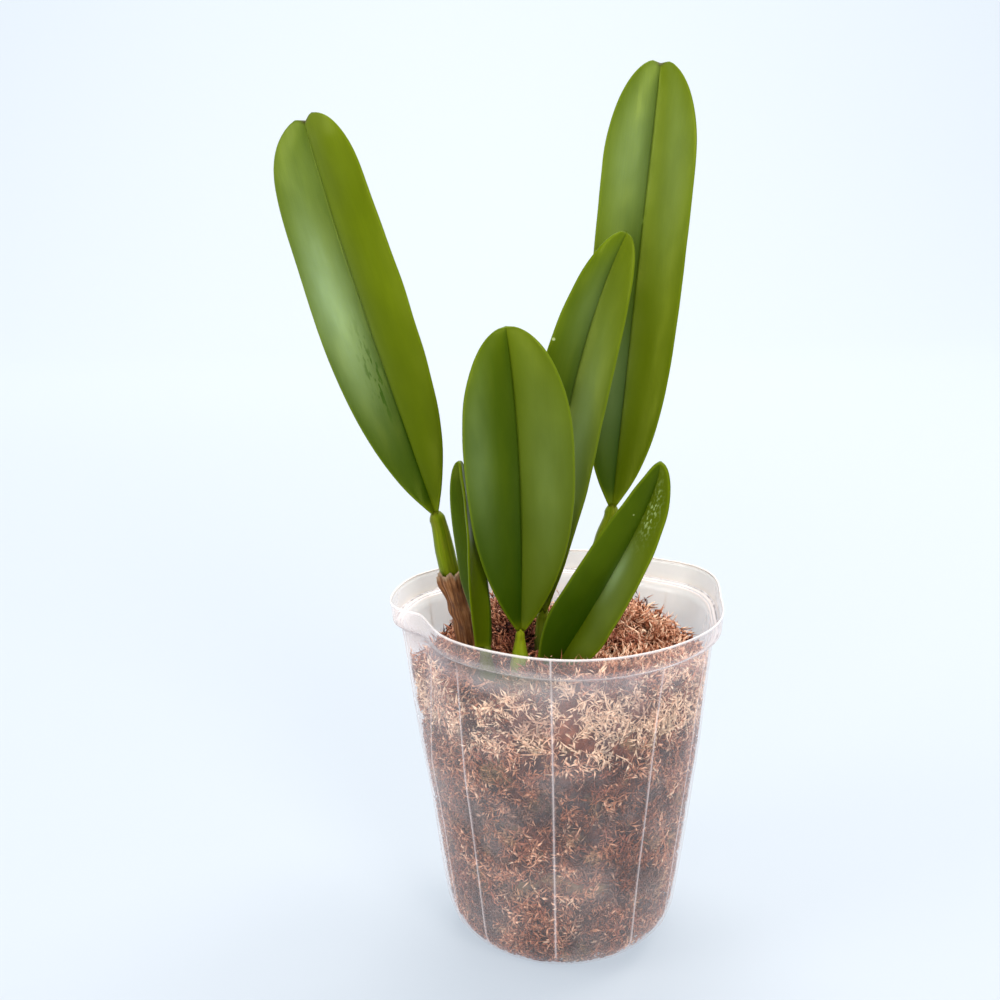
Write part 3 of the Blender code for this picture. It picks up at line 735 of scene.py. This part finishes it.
def smooth_line(points, count):
    """Points of a smooth curve through the given ones, evenly spread along it, and their shares."""
    points = np.asarray(points, float)
    knots = lengths_along(points)
    slopes = np.gradient(points, knots, axis=0)
    places = np.linspace(0, knots[-1], count)
    piece = np.clip(np.searchsorted(knots, places, side="right") - 1, 0, len(knots) - 2)
    gap = (knots[piece + 1] - knots[piece])[:, None]
    t = (places[:, None] - knots[piece][:, None]) / gap
    line = (2 * t ** 3 - 3 * t ** 2 + 1) * points[piece]
    line = line + (t ** 3 - 2 * t ** 2 + t) * gap * slopes[piece]
    after = (3 * t ** 2 - 2 * t ** 3) * points[piece + 1]
    line += after + (t ** 3 - t ** 2) * gap * slopes[piece + 1]
    return line, places / knots[-1], np.interp(places, knots, np.arange(len(knots)))


def tube_frames(line):
    """Two directions across a line at each of its points, the first one to the front."""
    along = unit(np.gradient(line, axis=0))
    front = np.array([0, -1.0, 0])
    first = unit(front - along * (front * along).sum(-1, keepdims=True))
    return first, np.cross(along, first)


def make_stem(stem, seed, material):
    """A smooth stem from the rhizome to the leaf's foot, with a raised collar below the leaf."""
    leaf = next(one for one in LEAVES if one.shoot == stem.shoot)
    points, along, _ = spine(leaf, np.array([0.0, 0.02]))
    foot = np.array([stem.foot[0], stem.foot[1], STEM_FOOT]) * MM
    way = [foot] + [np.array(place) * MM for place in stem.way]
    way += [points[0] - along[0] * STEM_NECK, points[0] + along[0] * STEM_OVERLAP]
    radii = np.array([stem.radii[0]] + list(stem.radii[1:]) + [stem.radii[-1]])
    radii = np.interp(np.linspace(0, 1, len(way)), np.linspace(0, 1, len(radii)), radii) * MM
    line, share, knot = smooth_line(way, STEM_ROWS)
    radius = np.interp(knot, np.arange(len(way)), radii)
    height = share * np.linalg.norm(np.diff(line, axis=0), axis=1).sum()
    left = height[-1] - height - STEM_OVERLAP
    radius = radius + COLLAR_RISE * np.exp(-((left - COLLAR_BELOW) / COLLAR_WIDTH) ** 2)
    radius = radius * np.sqrt(np.clip(1 - np.clip(1 - left / STEM_OVERLAP, 0, 2) / 2.2, 0, 1))
    turns = np.linspace(0, 2 * math.pi, STEM_COLUMNS, endpoint=False)
    first, second = tube_frames(line)
    ring = first[:, None] * np.cos(turns)[None, :, None]
    ring = ring + second[:, None] * np.sin(turns)[None, :, None]
    ribs = 0.03 * np.cos(turns * 5 + seed)[None, :] + 0.02 * np.cos(turns * 9 + 2 * seed)[None, :]
    verts = line[:, None] + ring * (radius[:, None] * (1 + ribs))[..., None]
    verts += ring * (0.12 * MM * lumps(verts, 9 * MM, seed))[..., None]
    rows, columns = verts.shape[:2]
    faces = capped_faces(rows, columns)
    in_mm = vectors_of(turns[None, :] * 2.6, height[:, None] / MM, 30.0 * seed)
    bright = stem.shoot == "front_broad"
    near = np.exp(-np.clip(left, 0, None) / (8 * MM)) * bright
    attributes = {
        "stem_mm": in_mm,
        "stem_share": np.repeat(share, columns),
        # Mask of painted contact shade near the moss; none on the front stem.
        "contact_shade": smoothstep((CONTACT_SHADE_LEVEL - verts[..., 2]) / (9 * MM)) * (not bright),
        "leaf_near": np.repeat(near, columns),
    }
    name = "stem_" + stem.shoot
    obj = make_object(name + "_skin", verts, faces, material, attributes)
    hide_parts(name)
    return line, radius


def make_sheath(line, radius, material):
    """The dry bract: a creased thin wrap with an overlap and a torn rim."""
    turns = np.linspace(0, 2 * math.pi, SHEATH_COLUMNS, endpoint=False)
    shares = np.linspace(0, 1, SHEATH_ROWS)
    circle = vectors_of(np.cos(turns), np.sin(turns), 0.0)
    tear = lumps(circle, 0.55, 4) + 0.6 * lumps(circle, 0.2, 5)
    top = SHEATH_TOP + SHEATH_TEAR * tear + 1.4 * MM * np.cos(turns - 0.9)
    z = SHEATH_FOOT + (top[None, :] - SHEATH_FOOT) * shares[:, None]
    centre = np.stack([np.interp(z, line[:, 2], line[:, axis]) for axis in (0, 1)] + [z], -1)
    body = np.interp(z, line[:, 2], radius)
    way = vectors_of(np.sin(turns), -np.cos(turns), 0.0)[None]
    crease = np.cos(turns * 7 + 3 * shares[:, None]) * 0.16 + np.cos(turns * 4 + 1) * 0.14
    crease = crease * MM * (0.5 + shares[:, None])
    overlap = 0.5 * MM * smoothstep(np.cos(turns - 0.35) * 6 - 5)[None, :]
    out = body + 0.45 * MM + crease + overlap
    out = out + SHEATH_FLARE * smoothstep(shares * 3.2 - 2.2)[:, None]
    out += 0.25 * MM * lumps(centre + way * 3 * MM, 5 * MM, 8)
    outer = centre + way * (out + SHEATH_THICKNESS / 2)[..., None]
    inner = centre + way * (out - SHEATH_THICKNESS / 2)[..., None]
    rows, columns = z.shape
    count = rows * columns
    faces = grid_faces(rows, columns, closed=True)
    faces += grid_faces(rows, columns, count, closed=True, flipped=True)
    for row in (0, rows - 1):
        for column in range(columns):
            a, b = row * columns + column, row * columns + (column + 1) % columns
            quad = [a, b, b + count, a + count]
            faces.append(quad if row else quad[::-1])
    in_mm = vectors_of(turns[None, :] * 3.5, z / MM, 7.0)
    attributes = {
        "sheath_mm": np.stack([in_mm] * 2),
        "sheath_share": np.stack([np.broadcast_to(shares[:, None], z.shape)] * 2),
    }
    verts = np.stack([outer, inner])
    obj = make_object("sheath_wrap", verts, faces, material, attributes)
    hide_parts("sheath_left_tall")


# The pot


def wall_line(z):
    return WALL_RADIUS_AT_BASE + (WALL_RADIUS_AT_RIM - WALL_RADIUS_AT_BASE) * z / RIM_FOOT


def bend_factor(angle, z):
    """How far the soft wall is bent out of round near the rim."""
    total = np.zeros(np.broadcast(angle, z).shape)
    for centre, share, width_before, width_after in RIM_BENDS:
        turn = (angle - centre + 180) % 360 - 180
        width = np.where(turn < 0, width_before, width_after)
        total = total + share * np.exp(-0.5 * (turn / width) ** 2)
    return 1 + total * np.clip(1 - (POT_HEIGHT - z) / BEND_DEPTH, 0, None)


def around(angle, radius, z):
    turn = np.radians(angle)
    return vectors_of(radius * np.sin(turn), -radius * np.cos(turn), z)


def from_rib(angles):
    """Degrees to the nearest rib."""
    return np.abs((angles[:, None] - np.array(RIB_ANGLES) + 180) % 360 - 180).min(1)


def half_profile(inset):
    """The pot's wall line `inset` in from its outside: radius, height and how thick it looks, which
    also paints its highlight.
    """
    line = []
    for turn in np.radians(np.linspace(0, 90, 16)):
        z = inset + (BASE_CORNER - inset) * (1 - math.cos(turn))
        radius = wall_line(z) - BASE_CORNER + (BASE_CORNER - inset) * math.sin(turn)
        line.append((radius, z, 0))
    for z in np.linspace(BASE_CORNER, RIM_FOOT - 1.5 * MM, 40)[1:]:
        line.append((wall_line(z) - inset, z, 0))
    for rise, out, thick_and_highlight in LEDGE_LINE:
        radius = WALL_RADIUS_AT_RIM + out * MM - inset
        line.append((radius, RIM_FOOT + rise * MM - inset * 0.7, thick_and_highlight))
    for share in (0.35, 0.55, 0.75, 0.88):
        ledge = WALL_RADIUS_AT_RIM + RIM_LEDGE
        radius = ledge + (RIM_RADIUS - WALL_RADIUS_AT_RIM - RIM_LEDGE) * share
        line.append((radius - inset, RIM_FOOT + RIM_BAND * share, 0))
    return line


def make_pot(material):
    """A soft clear pot: narrow ribs, a rim band on a ledge, a rolled lip and drain holes."""
    outer = [(0, 0, 0), (0.3 * WALL_RADIUS_AT_BASE, 0, 0)] + half_profile(0)
    inner = [(0, WALL, 0), (0.3 * WALL_RADIUS_AT_BASE, WALL, 0)] + half_profile(WALL)
    lip = []
    for turn in np.radians(np.linspace(-60, 240, 11)):
        radius = RIM_RADIUS - LIP_RADIUS * 0.8 + LIP_RADIUS * math.cos(turn)
        lip.append((radius, POT_HEIGHT - LIP_RADIUS + LIP_RADIUS * math.sin(turn), LIP_THICK_AND_HIGHLIGHT))
    profile = np.array(outer + lip + inner[::-1])
    angles = np.arange(-180, 180, 1.5)
    at_ribs = [rib + step for rib in RIB_ANGLES for step in RIB_STEPS]
    angles = np.concatenate([angles[from_rib(angles) > 1.7], at_ribs])
    angles = np.sort((angles + 180) % 360 - 180)
    radius, z, thick_and_highlight = (profile[:, column][:, None] for column in range(3))
    ridge = np.exp(-(np.radians(from_rib(angles)[None, :]) * radius / RIB_WIDTH) ** 2)
    seam = (np.abs(angles - SEAM_ANGLE) < 2)[None, :] * (z < POT_HEIGHT - 2 * LIP_RADIUS)
    ridge = ridge * smoothstep((z - 0.5 * BASE_CORNER) / (3 * MM))
    ridge = ridge * ((z < RIM_FOOT - 0.5 * MM) | seam)
    on_outside = (np.arange(len(profile)) < len(outer))[:, None]
    place = radius * bend_factor(angles[None, :], z) + RIB_HEIGHT * ridge * on_outside
    verts = around(angles[None, :], place, z)
    between = smoothstep(z / (20 * MM)), smoothstep((RIM_FOOT - z) / (20 * MM))
    wobble = 0.25 * MM * lumps(verts, 60 * MM, 21) * between[0] * between[1]
    verts = verts + (verts * (1, 1, 0)) / np.maximum(place, MM)[..., None] * wobble[..., None]
    # Painted light: the far wall above the moss is painted pale and less clear as if lit from
    # behind.
    back = smoothstep((np.abs(angles) - BACKLIT_PALE_START) / BACKLIT_PALE_TURN)[None, :]
    # Dark veil on the front above the moss: partly damp fog, partly painted shade of the leaves.
    fog_and_shade = np.exp(-((angles - FOG_SHADE_ANGLE) / FOG_SHADE_SPREAD) ** 2)[None, :]
    fog_and_shade = (1 - back) * (FOG_SHADE_ALL_ROUND + (1 - FOG_SHADE_ALL_ROUND) * fog_and_shade)
    fog_and_shade = fog_and_shade * smoothstep((z - FOG_SHADE_FOOT) / FOG_SHADE_RISE) * smoothstep((FOG_SHADE_TOP - z) / FOG_SHADE_FALL)
    # Where the veil is painted greener, as the shaded stems behind.
    green = np.exp(-((angles - GREEN_SHADE_ANGLE) / GREEN_SHADE_SPREAD) ** 2)[None, :]
    rows, columns = place.shape
    faces = grid_faces(rows, columns, closed=True)
    attributes = {
        # Thick parts and ribs: less clear, and painted pale as highlights.
        "thick_and_highlight": np.maximum(thick_and_highlight, RIB_THICK_AND_HIGHLIGHT * ridge * on_outside),
        "fog_and_shade": fog_and_shade,
        "backlit_pale": back * smoothstep((z - BACKLIT_PALE_FOOT) / BACKLIT_PALE_RISE),
        "green_shade_veil": np.broadcast_to(green, place.shape),
    }
    pot = make_object("pot_shell", verts, faces, material, attributes)
    weld(pot)
    drills = bpy.data.collections.new("drills")
    for hole in range(DRAIN_HOLES):
        middle = around(360 * (hole + 0.5) / DRAIN_HOLES, DRAIN_CIRCLE, 0.0)
        bm = bmesh.new()
        bmesh.ops.create_cone(
            bm, cap_ends=True, segments=32, radius1=DRAIN_RADIUS, radius2=DRAIN_RADIUS,
            depth=8 * WALL, matrix=Matrix.Translation(middle),
        )
        mesh = bpy.data.meshes.new("drill")
        bm.to_mesh(mesh)
        bm.free()
        drills.objects.link(bpy.data.objects.new("drill", mesh))
    cut = pot.modifiers.new("Drain holes", "BOOLEAN")
    cut.operand_type = "COLLECTION"
    cut.collection = drills
    cut.solver = "EXACT"
    settle(pot)
    for drill in list(drills.objects):
        bpy.data.meshes.remove(drill.data)
    bpy.data.collections.remove(drills)
    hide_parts("pot")


def settle(obj):
    """Turns an object's modifiers into plain mesh."""
    bpy.context.view_layer.update()
    mesh = bpy.data.meshes.new_from_object(obj.evaluated_get(bpy.context.evaluated_depsgraph_get()))
    obj.modifiers.clear()
    obj.data = mesh
    mesh.shade_smooth()


# The moss


def moss_height(points):
    x, y = points[..., 0], points[..., 1]
    z = np.full(x.shape, MOSS_LEVEL)
    for mound in MOSS_MOUNDS:
        mound_x, mound_y, spread, height = (number * MM for number in mound)
        z = z + height * np.exp(-((x - mound_x) ** 2 + (y - mound_y) ** 2) / spread ** 2)
    return z


def wall_inside(angle, z):
    """Inner radius of the pot at an angle and height, also round its base corner."""
    low = np.clip(BASE_CORNER - z, 0, BASE_CORNER)
    corner = BASE_CORNER - np.sqrt(np.clip(BASE_CORNER ** 2 - low ** 2, 0, None))
    return (wall_line(z) - WALL - corner) * bend_factor(angle, z)


def inside_pot(points, margin):
    """Presses points against the inside of the pot where they would cross its wall."""
    x, y, z = points[..., 0], points[..., 1], np.maximum(points[..., 2], WALL + margin)
    angle = np.degrees(np.arctan2(x, -y))
    reach = np.hypot(x, y)
    room = wall_inside(angle, z) - margin
    factor = np.minimum(1, room / np.maximum(reach, 1e-9))
    return vectors_of(x * factor, y * factor, z)


def make_core(material):
    """Body of the moss behind its strands, painted dark as the shade in the gaps, up to just below
    the loose top.
    """
    angles = np.linspace(-180, 180, CORE_COLUMNS, endpoint=False)
    edge = around(angles, wall_inside(angles, MOSS_LEVEL) - CORE_INSET, 0.0)
    top = moss_height(edge) - CORE_DROP
    verts = []
    for share in np.linspace(0, 1, CORE_SIDE_RINGS):
        z = WALL + CORE_INSET + (top - WALL - CORE_INSET) * share
        verts.append(around(angles, wall_inside(angles, z) - CORE_INSET, z))
    for share in np.linspace(1, 0.02, CORE_TOP_RINGS + 1)[1:]:
        ring = edge * share
        ring[:, 2] = moss_height(ring) - CORE_DROP
        verts.append(ring)
    verts = np.array(verts)
    relief = 0.9 * MM * lumps(verts, 5 * MM, 31) + 0.5 * MM * lumps(verts, 2.2 * MM, 32) - 0.6 * MM
    outwards = unit(verts - np.array([0, 0, 55 * MM]))
    verts = inside_pot(verts + outwards * relief[..., None], 1.2 * MM)
    rows, columns = verts.shape[:2]
    faces = capped_faces(rows, columns)
    # Dark tint: painted shade of the gaps between the strands.
    tint = 0.08 + 0.1 * lumps(verts, 12 * MM, 33) + 0.1 * lumps(verts, 3 * MM, 34)
    beside_wall = (np.arange(rows) < CORE_SIDE_RINGS)[:, None]
    # Paler near the top beside the wall: partly the moss's own tone, partly painted light from
    # above.
    tint += 0.15 * smoothstep((verts[..., 2] - PALE_AND_LIT_FOOT) / PALE_AND_LIT_RISE) * beside_wall
    core = make_object("moss_core", verts, faces, material, {"tint": tint})
    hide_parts("moss")


def spread(count):
    """Evenly spread places without a pattern: an angle and a share for each."""
    number = np.arange(count)
    return 360 * (number * SPREAD_STEPS[0] % 1) - 180, number * SPREAD_STEPS[1] % 1


def strand_points(start, heading, length, bow, curl, draw):
    """Curved lines of the given number of points: start, heading and sizes for each strand."""
    count = len(start)
    t = np.linspace(0, 1, STRAND_POINTS)[None, :, None]
    side = unit(np.cross(heading, unit(draw.normal(size=(count, 3)))))
    other = np.cross(heading, side)
    length, bow, curl = length[:, None, None], bow[:, None, None], curl[:, None, None]
    phase = draw.uniform(0, 2 * math.pi, (count, 1, 1))
    turns = draw.uniform(2.5, 6.5, (count, 1, 1))
    points = start[:, None] + heading[:, None] * length * t * (1 - 0.25 * bow ** 2 * t)
    wave = curl * (np.sin(phase + turns * t) - np.sin(phase))
    points = points + side[:, None] * length * (bow * t ** 2 + wave)
    return points + other[:, None] * length * curl * (np.cos(phase + turns * t) - np.cos(phase))


def strands_mesh(name, points, radii, flatness, tints, material):
    """Tapering three-sided fibres along the given lines, all in one mesh."""
    count, steps = points.shape[:2]
    along = unit(np.gradient(points, axis=1) + 1e-9)
    reference = np.broadcast_to(unit(np.array([0.3, 0.2, 1.0])), along.shape)
    first = unit(np.cross(along, reference) + 1e-6)
    second = np.cross(along, first)
    taper = np.sin(np.linspace(0.3, math.pi * 0.985, steps))[None, :, None] ** 0.7
    taper = np.maximum(taper, 0.12)
    turn = np.random.default_rng(91).uniform(0, 2 * math.pi, (count, 1, 1))
    corners = []
    for corner in range(3):
        angle = turn + corner * 2 * math.pi / 3
        offset = first * np.cos(angle) + second * np.sin(angle) * flatness[:, None, None]
        corners.append(points + offset * radii[:, None, None] * taper)
    verts = inside_pot(np.stack(corners, 2), 0.15 * MM)
    base = (np.arange(count) * steps * 3)[:, None]
    quads = []
    for step in range(steps - 1):
        for corner in range(3):
            a = base + step * 3 + corner
            b = base + step * 3 + (corner + 1) % 3
            quads.append(np.concatenate([a, b, b + 3, a + 3], 1))
    faces = np.concatenate(quads).tolist()
    last = base + (steps - 1) * 3
    faces += np.concatenate([base + 2, base + 1, base], 1).tolist()
    faces += np.concatenate([last, last + 1, last + 2], 1).tolist()
    make_object(name, verts, faces, material, {"tint": np.repeat(tints, steps * 3)})


def leaflets_mesh(name, points, number, size, root, tints, draw, material):
    """Small pointed leaves all round each strand, with painted shade at the root and a painted
    highlight at the tip.
    """
    owner = np.repeat(np.arange(len(points)), number)
    count = len(owner)
    share = np.tile(np.linspace(0.05, 0.95, number), len(points)) * (STRAND_POINTS - 1)
    step = share.astype(int)
    part = (share - step)[:, None]
    start = points[owner, step] * (1 - part) + points[owner, step + 1] * part
    along = unit(points[owner, step + 1] - points[owner, step] + 1e-9)
    outward = unit(np.cross(along, unit(draw.normal(size=(count, 3)))))
    heading = unit(along * draw.uniform(0.2, 1.2, (count, 1)) + outward)
    across = unit(np.cross(heading, unit(draw.normal(size=(count, 3)))))
    through = np.cross(heading, across)
    length = draw.uniform(1.3, 3.6, (count, 1)) * size * MM
    width = draw.uniform(0.18, 0.5, (count, 1)) * MM
    middle = start + heading * length * 0.42
    droop = through * length * draw.uniform(-0.4, 0.4, (count, 1))
    tip = start + heading * length + droop
    corners = [start, middle + across * width, middle + through * width * 0.6,
               middle - across * width, tip]
    verts = inside_pot(np.stack(corners, 1), 0.15 * MM)
    base = (np.arange(count) * len(corners))[:, None]
    faces = []
    for a, b in ((1, 2), (2, 3), (3, 1)):
        faces.append(np.concatenate([base, base + b, base + a], 1))
        faces.append(np.concatenate([base + 4, base + a, base + b], 1))
    faces = np.concatenate(faces).tolist()
    # Painted shade darkens each leaflet at its root, by the given amount, and a painted highlight
    # makes its tip paler.
    tint = (tints[owner] + draw.normal(0, 0.07, count))[:, None] + (-root, 0, 0.02, 0, 0.14)
    make_object(name, verts, faces, material, {"tint": tint})


def tint_at(points, draw):
    """Colour share of moss at a place: pale near the top of the wall, partly as painted light, in
    patches further down.
    """
    patches = lumps(points, 17 * MM, 41) * 0.1 + lumps(points, 7 * MM, 42) * 0.1
    # Paler near the top: partly the moss's own tone, partly painted light from above.
    pale = smoothstep((points[:, 2] - PALE_AND_LIT_FOOT) / PALE_AND_LIT_RISE) * PALE_AND_LIT_TINT
    return MOSS_TINT + patches + pale + draw.normal(0, 0.08, len(points))


def make_wall_moss(material):
    """Tufts of curled strands pressed against the wall, over its whole height and base."""
    draw = np.random.default_rng(51)
    angle, share = spread(WALL_CLUSTERS)
    angle = angle + draw.normal(0, 1, WALL_CLUSTERS)
    edge = around(angle, wall_inside(angle, MOSS_LEVEL), 0.0)
    top = moss_height(edge)
    z = WALL + (top - WALL) * share
    middle = around(angle, wall_inside(angle, z) - 1.2 * MM, z)
    outward = around(angle, np.ones(WALL_CLUSTERS), 0.0)
    upward = np.array([0, 0, 1.0])
    sideways = np.cross(upward, outward)
    turn = draw.uniform(0, 2 * math.pi, WALL_CLUSTERS)[:, None]
    lie = unit(sideways * np.cos(turn) + upward * np.sin(turn) * 0.8)
    pick = np.repeat(np.arange(WALL_CLUSTERS), STRANDS_PER_WALL_CLUSTER)
    count = len(pick)
    fan = draw.normal(0, 0.9, (count, 1))
    tilt = draw.uniform(-0.4, 0.4, (count, 1))
    heading = unit(lie[pick] + np.cross(outward[pick], lie[pick]) * fan + outward[pick] * tilt)
    scatter = draw.normal(0, 1.7 * MM, (count, 3))
    start = middle[pick] + scatter - outward[pick] * draw.uniform(0, 2.4 * MM, (count, 1))
    length = draw.uniform(3.5, 8.5, count) * MM
    bow = draw.uniform(-0.8, 0.8, count)
    curl = draw.uniform(*STRAND_CURLS, count)
    points = strand_points(start, heading, length, bow, curl, draw)
    ceiling = moss_height(points) + 1.5 * MM
    points[..., 2] = np.minimum(points[..., 2], ceiling)
    points = inside_pot(points, 0.9 * MM)
    tints = tint_at(start, draw) + draw.normal(0, 0.09, WALL_CLUSTERS)[pick]
    radii = draw.uniform(0.12, 0.38, count) * MM
    flatness = draw.uniform(0.35, 0.9, count)
    strands_mesh("moss_wall_strands", points, radii, flatness, tints, material)
    for number, half in enumerate((slice(count // 2), slice(count // 2, count)), 1):
        leaflets_mesh(f"moss_wall_leaflets_{number}", points[half], WALL_LEAFLETS, 1.15, 0.16,
                      tints[half], draw, material)


def make_top_moss(plant, material):
    """Loose curly tufts on top, redder and more upright on the mounds, clear of the plant, with
    painted shade round its foot, at the front under the rim and deeper down.
    """
    draw = np.random.default_rng(61)
    angle, share = spread(TOP_CLUSTERS)
    reach = np.sqrt(share) * (wall_inside(angle, MOSS_LEVEL) - 2 * MM)
    middle = around(angle, reach, 0.0)
    middle[:, 2] = moss_height(middle) - draw.uniform(0, 3.2, TOP_CLUSTERS) * MM
    turn = draw.uniform(0, 2 * math.pi, TOP_CLUSTERS)[:, None]
    rise = draw.uniform(-0.1, 0.9, TOP_CLUSTERS)[:, None]
    lie = unit(np.concatenate([np.cos(turn), np.sin(turn), rise], 1))
    pick = np.repeat(np.arange(TOP_CLUSTERS), STRANDS_PER_TOP_CLUSTER)
    count = len(pick)
    heading = unit(lie[pick] + draw.normal(0, 0.5, (count, 3)) * (1, 1, 0.6))
    start = middle[pick] + draw.normal(0, 1.2 * MM, (count, 3)) * (1, 1, 0.5)
    length = draw.uniform(3.5, 9, count) * MM
    bow = draw.uniform(-0.9, 0.9, count)
    curl = draw.uniform(*STRAND_CURLS, count)
    points = strand_points(start, heading, length, bow, curl, draw)
    rise = 0.8 + 4.5 * smoothstep((points[..., 1] + 12 * MM) / (16 * MM))
    ceiling = moss_height(points) + rise * MM
    points[..., 2] = np.minimum(points[..., 2], ceiling)
    points = inside_pot(points, 0.55 * MM)
    clear = [all(tree.find_nearest(place, PLANT_CLEARANCE)[0] is None
                 for place in line for tree in plant) for line in points[:, ::2]]
    points, pick, start = points[clear], pick[clear], start[clear]
    count = len(points)
    x, y = start[:, 0], start[:, 1]
    red = smoothstep((y + 14 * MM) / (14 * MM)) * 0.1
    shaded = np.exp(-((x + 13 * MM) ** 2 + (y - 2 * MM) ** 2) / (17 * MM) ** 2) * 0.38
    # Painted shade at the front, under the rim.
    front = smoothstep((-24 * MM - y) / (12 * MM)) * 0.3
    tints = 0.66 - red - shaded - front + lumps(start, 9 * MM, 43) * 0.1
    tints = tints + draw.normal(0, 0.14, count)
    # Tufts that start lower are darker: painted shade in the hollows.
    tints += draw.normal(0, 0.08, TOP_CLUSTERS)[pick] - 0.03 * np.clip(93 - start[:, 2] / MM, 0, 8)
    radii = draw.uniform(0.16, 0.5, count) * MM
    flatness = draw.uniform(0.35, 1, count)
    strands_mesh("moss_top_strands", points, radii, flatness, tints, material)
    leaflets_mesh("moss_top_leaflets", points, TOP_LEAFLETS, 1.3, 0.26, tints, draw, material)


# The set


def add_area(name, place, size, power, colour, target):
    light = bpy.data.lights.new(name, "AREA")
    light.shape = "DISK"
    light.size = size
    light.energy = power
    light.color = colour
    obj = add_object(name, light)
    away = (np.array(place) - np.array(target)).tolist()
    pitch = math.atan2(math.hypot(away[0], away[1]), away[2])
    obj.rotation_euler = Euler((pitch, 0, math.atan2(away[0], -away[1])))
    obj.location = place


def make_stage():
    """Pale floor that curves up into a backdrop far behind the plant, and the studio light."""
    material, tree, shader = new_material("pale_floor")
    away = stretch(tree, coordinate(tree, object_place(tree), 1), 0.3, 1.6)
    set_inputs(tree, shader, {
        "Base Color": FLOOR_COLOUR,
        "Emission Color": blend_colours(tree, away, FLOOR_GLOW_NEAR, FLOOR_GLOW_FAR),
        "Emission Strength": 1.0,
        "Roughness": 0.9,
        "Specular IOR Level": 0.1,
    })
    line = [(-2.5, 0.0), (0.0, 0.0), (1.6, 0.0)]
    for turn in np.linspace(0, math.pi / 2, 16)[1:]:
        line.append((1.6 + 0.9 * math.sin(turn), 0.9 - 0.9 * math.cos(turn)))
    line.append((2.5, 3.2))
    verts = [(x, y, z) for y, z in line for x in (-3.5, 3.5)]
    mesh = bpy.data.meshes.new("floor")
    mesh.from_pydata(verts, [], grid_faces(len(line), 2))
    mesh.shade_smooth()
    mesh.materials.append(material)
    add_object("floor", mesh)
    world = bpy.data.worlds.new("studio")
    world.use_nodes = True
    sky = world.node_tree
    backwards = coordinate(sky, add_node(sky, "TexCoord").outputs["Generated"], 1)
    set_inputs(sky, sky.nodes["Background"], {
        "Color": WORLD_COLOUR,
        "Strength": stretch(sky, backwards, -0.5, 0.5, WORLD_FRONT, WORLD_BACK),
    })
    bpy.context.scene.world = world
    for light in LIGHTS:
        add_area(*light)
    bpy.context.scene.view_settings.view_transform = "Standard"


def make_camera():
    camera = bpy.data.cameras.new("camera")
    camera.lens = CAMERA_LENS
    camera.clip_start = 0.01
    obj = add_object("camera", camera)
    turn = Euler((math.pi / 2 - CAMERA_PITCH, 0, 0)).to_matrix()
    turn = turn @ Matrix.Rotation(CAMERA_ROLL, 3, "Z")
    obj.matrix_world = Matrix.Translation(CAMERA_PLACE) @ turn.to_4x4()
    bpy.context.scene.camera = obj


def tree_of(obj):
    places = [vertex.co[:] for vertex in obj.data.vertices]
    return BVHTree.FromPolygons(places, [polygon.vertices[:] for polygon in obj.data.polygons])


def main():
    green = leaf_material()
    blades = [make_leaf(leaf, seed + 1, green) for seed, leaf in enumerate(LEAVES)]
    skin = stem_material()
    for seed, stem in enumerate(STEMS):
        line, radius = make_stem(stem, seed + 1, skin)
        if stem.shoot == "left_tall":
            make_sheath(line, radius, sheath_material())
    rhizome = bpy.data.objects["rhizome_and_roots"]
    rhizome.data.materials.clear()
    rhizome.data.materials.append(root_material())
    moss = moss_material()
    make_core(moss)
    make_wall_moss(moss)
    nodes = ["stem_" + stem.shoot for stem in STEMS] + ["sheath_left_tall"]
    plant = [tree_of(bpy.data.objects[name]) for name in nodes]
    make_top_moss(plant + [tree_of(blade) for blade in blades], moss)
    make_pot(plastic_material())
    make_stage()
    make_camera()


main()
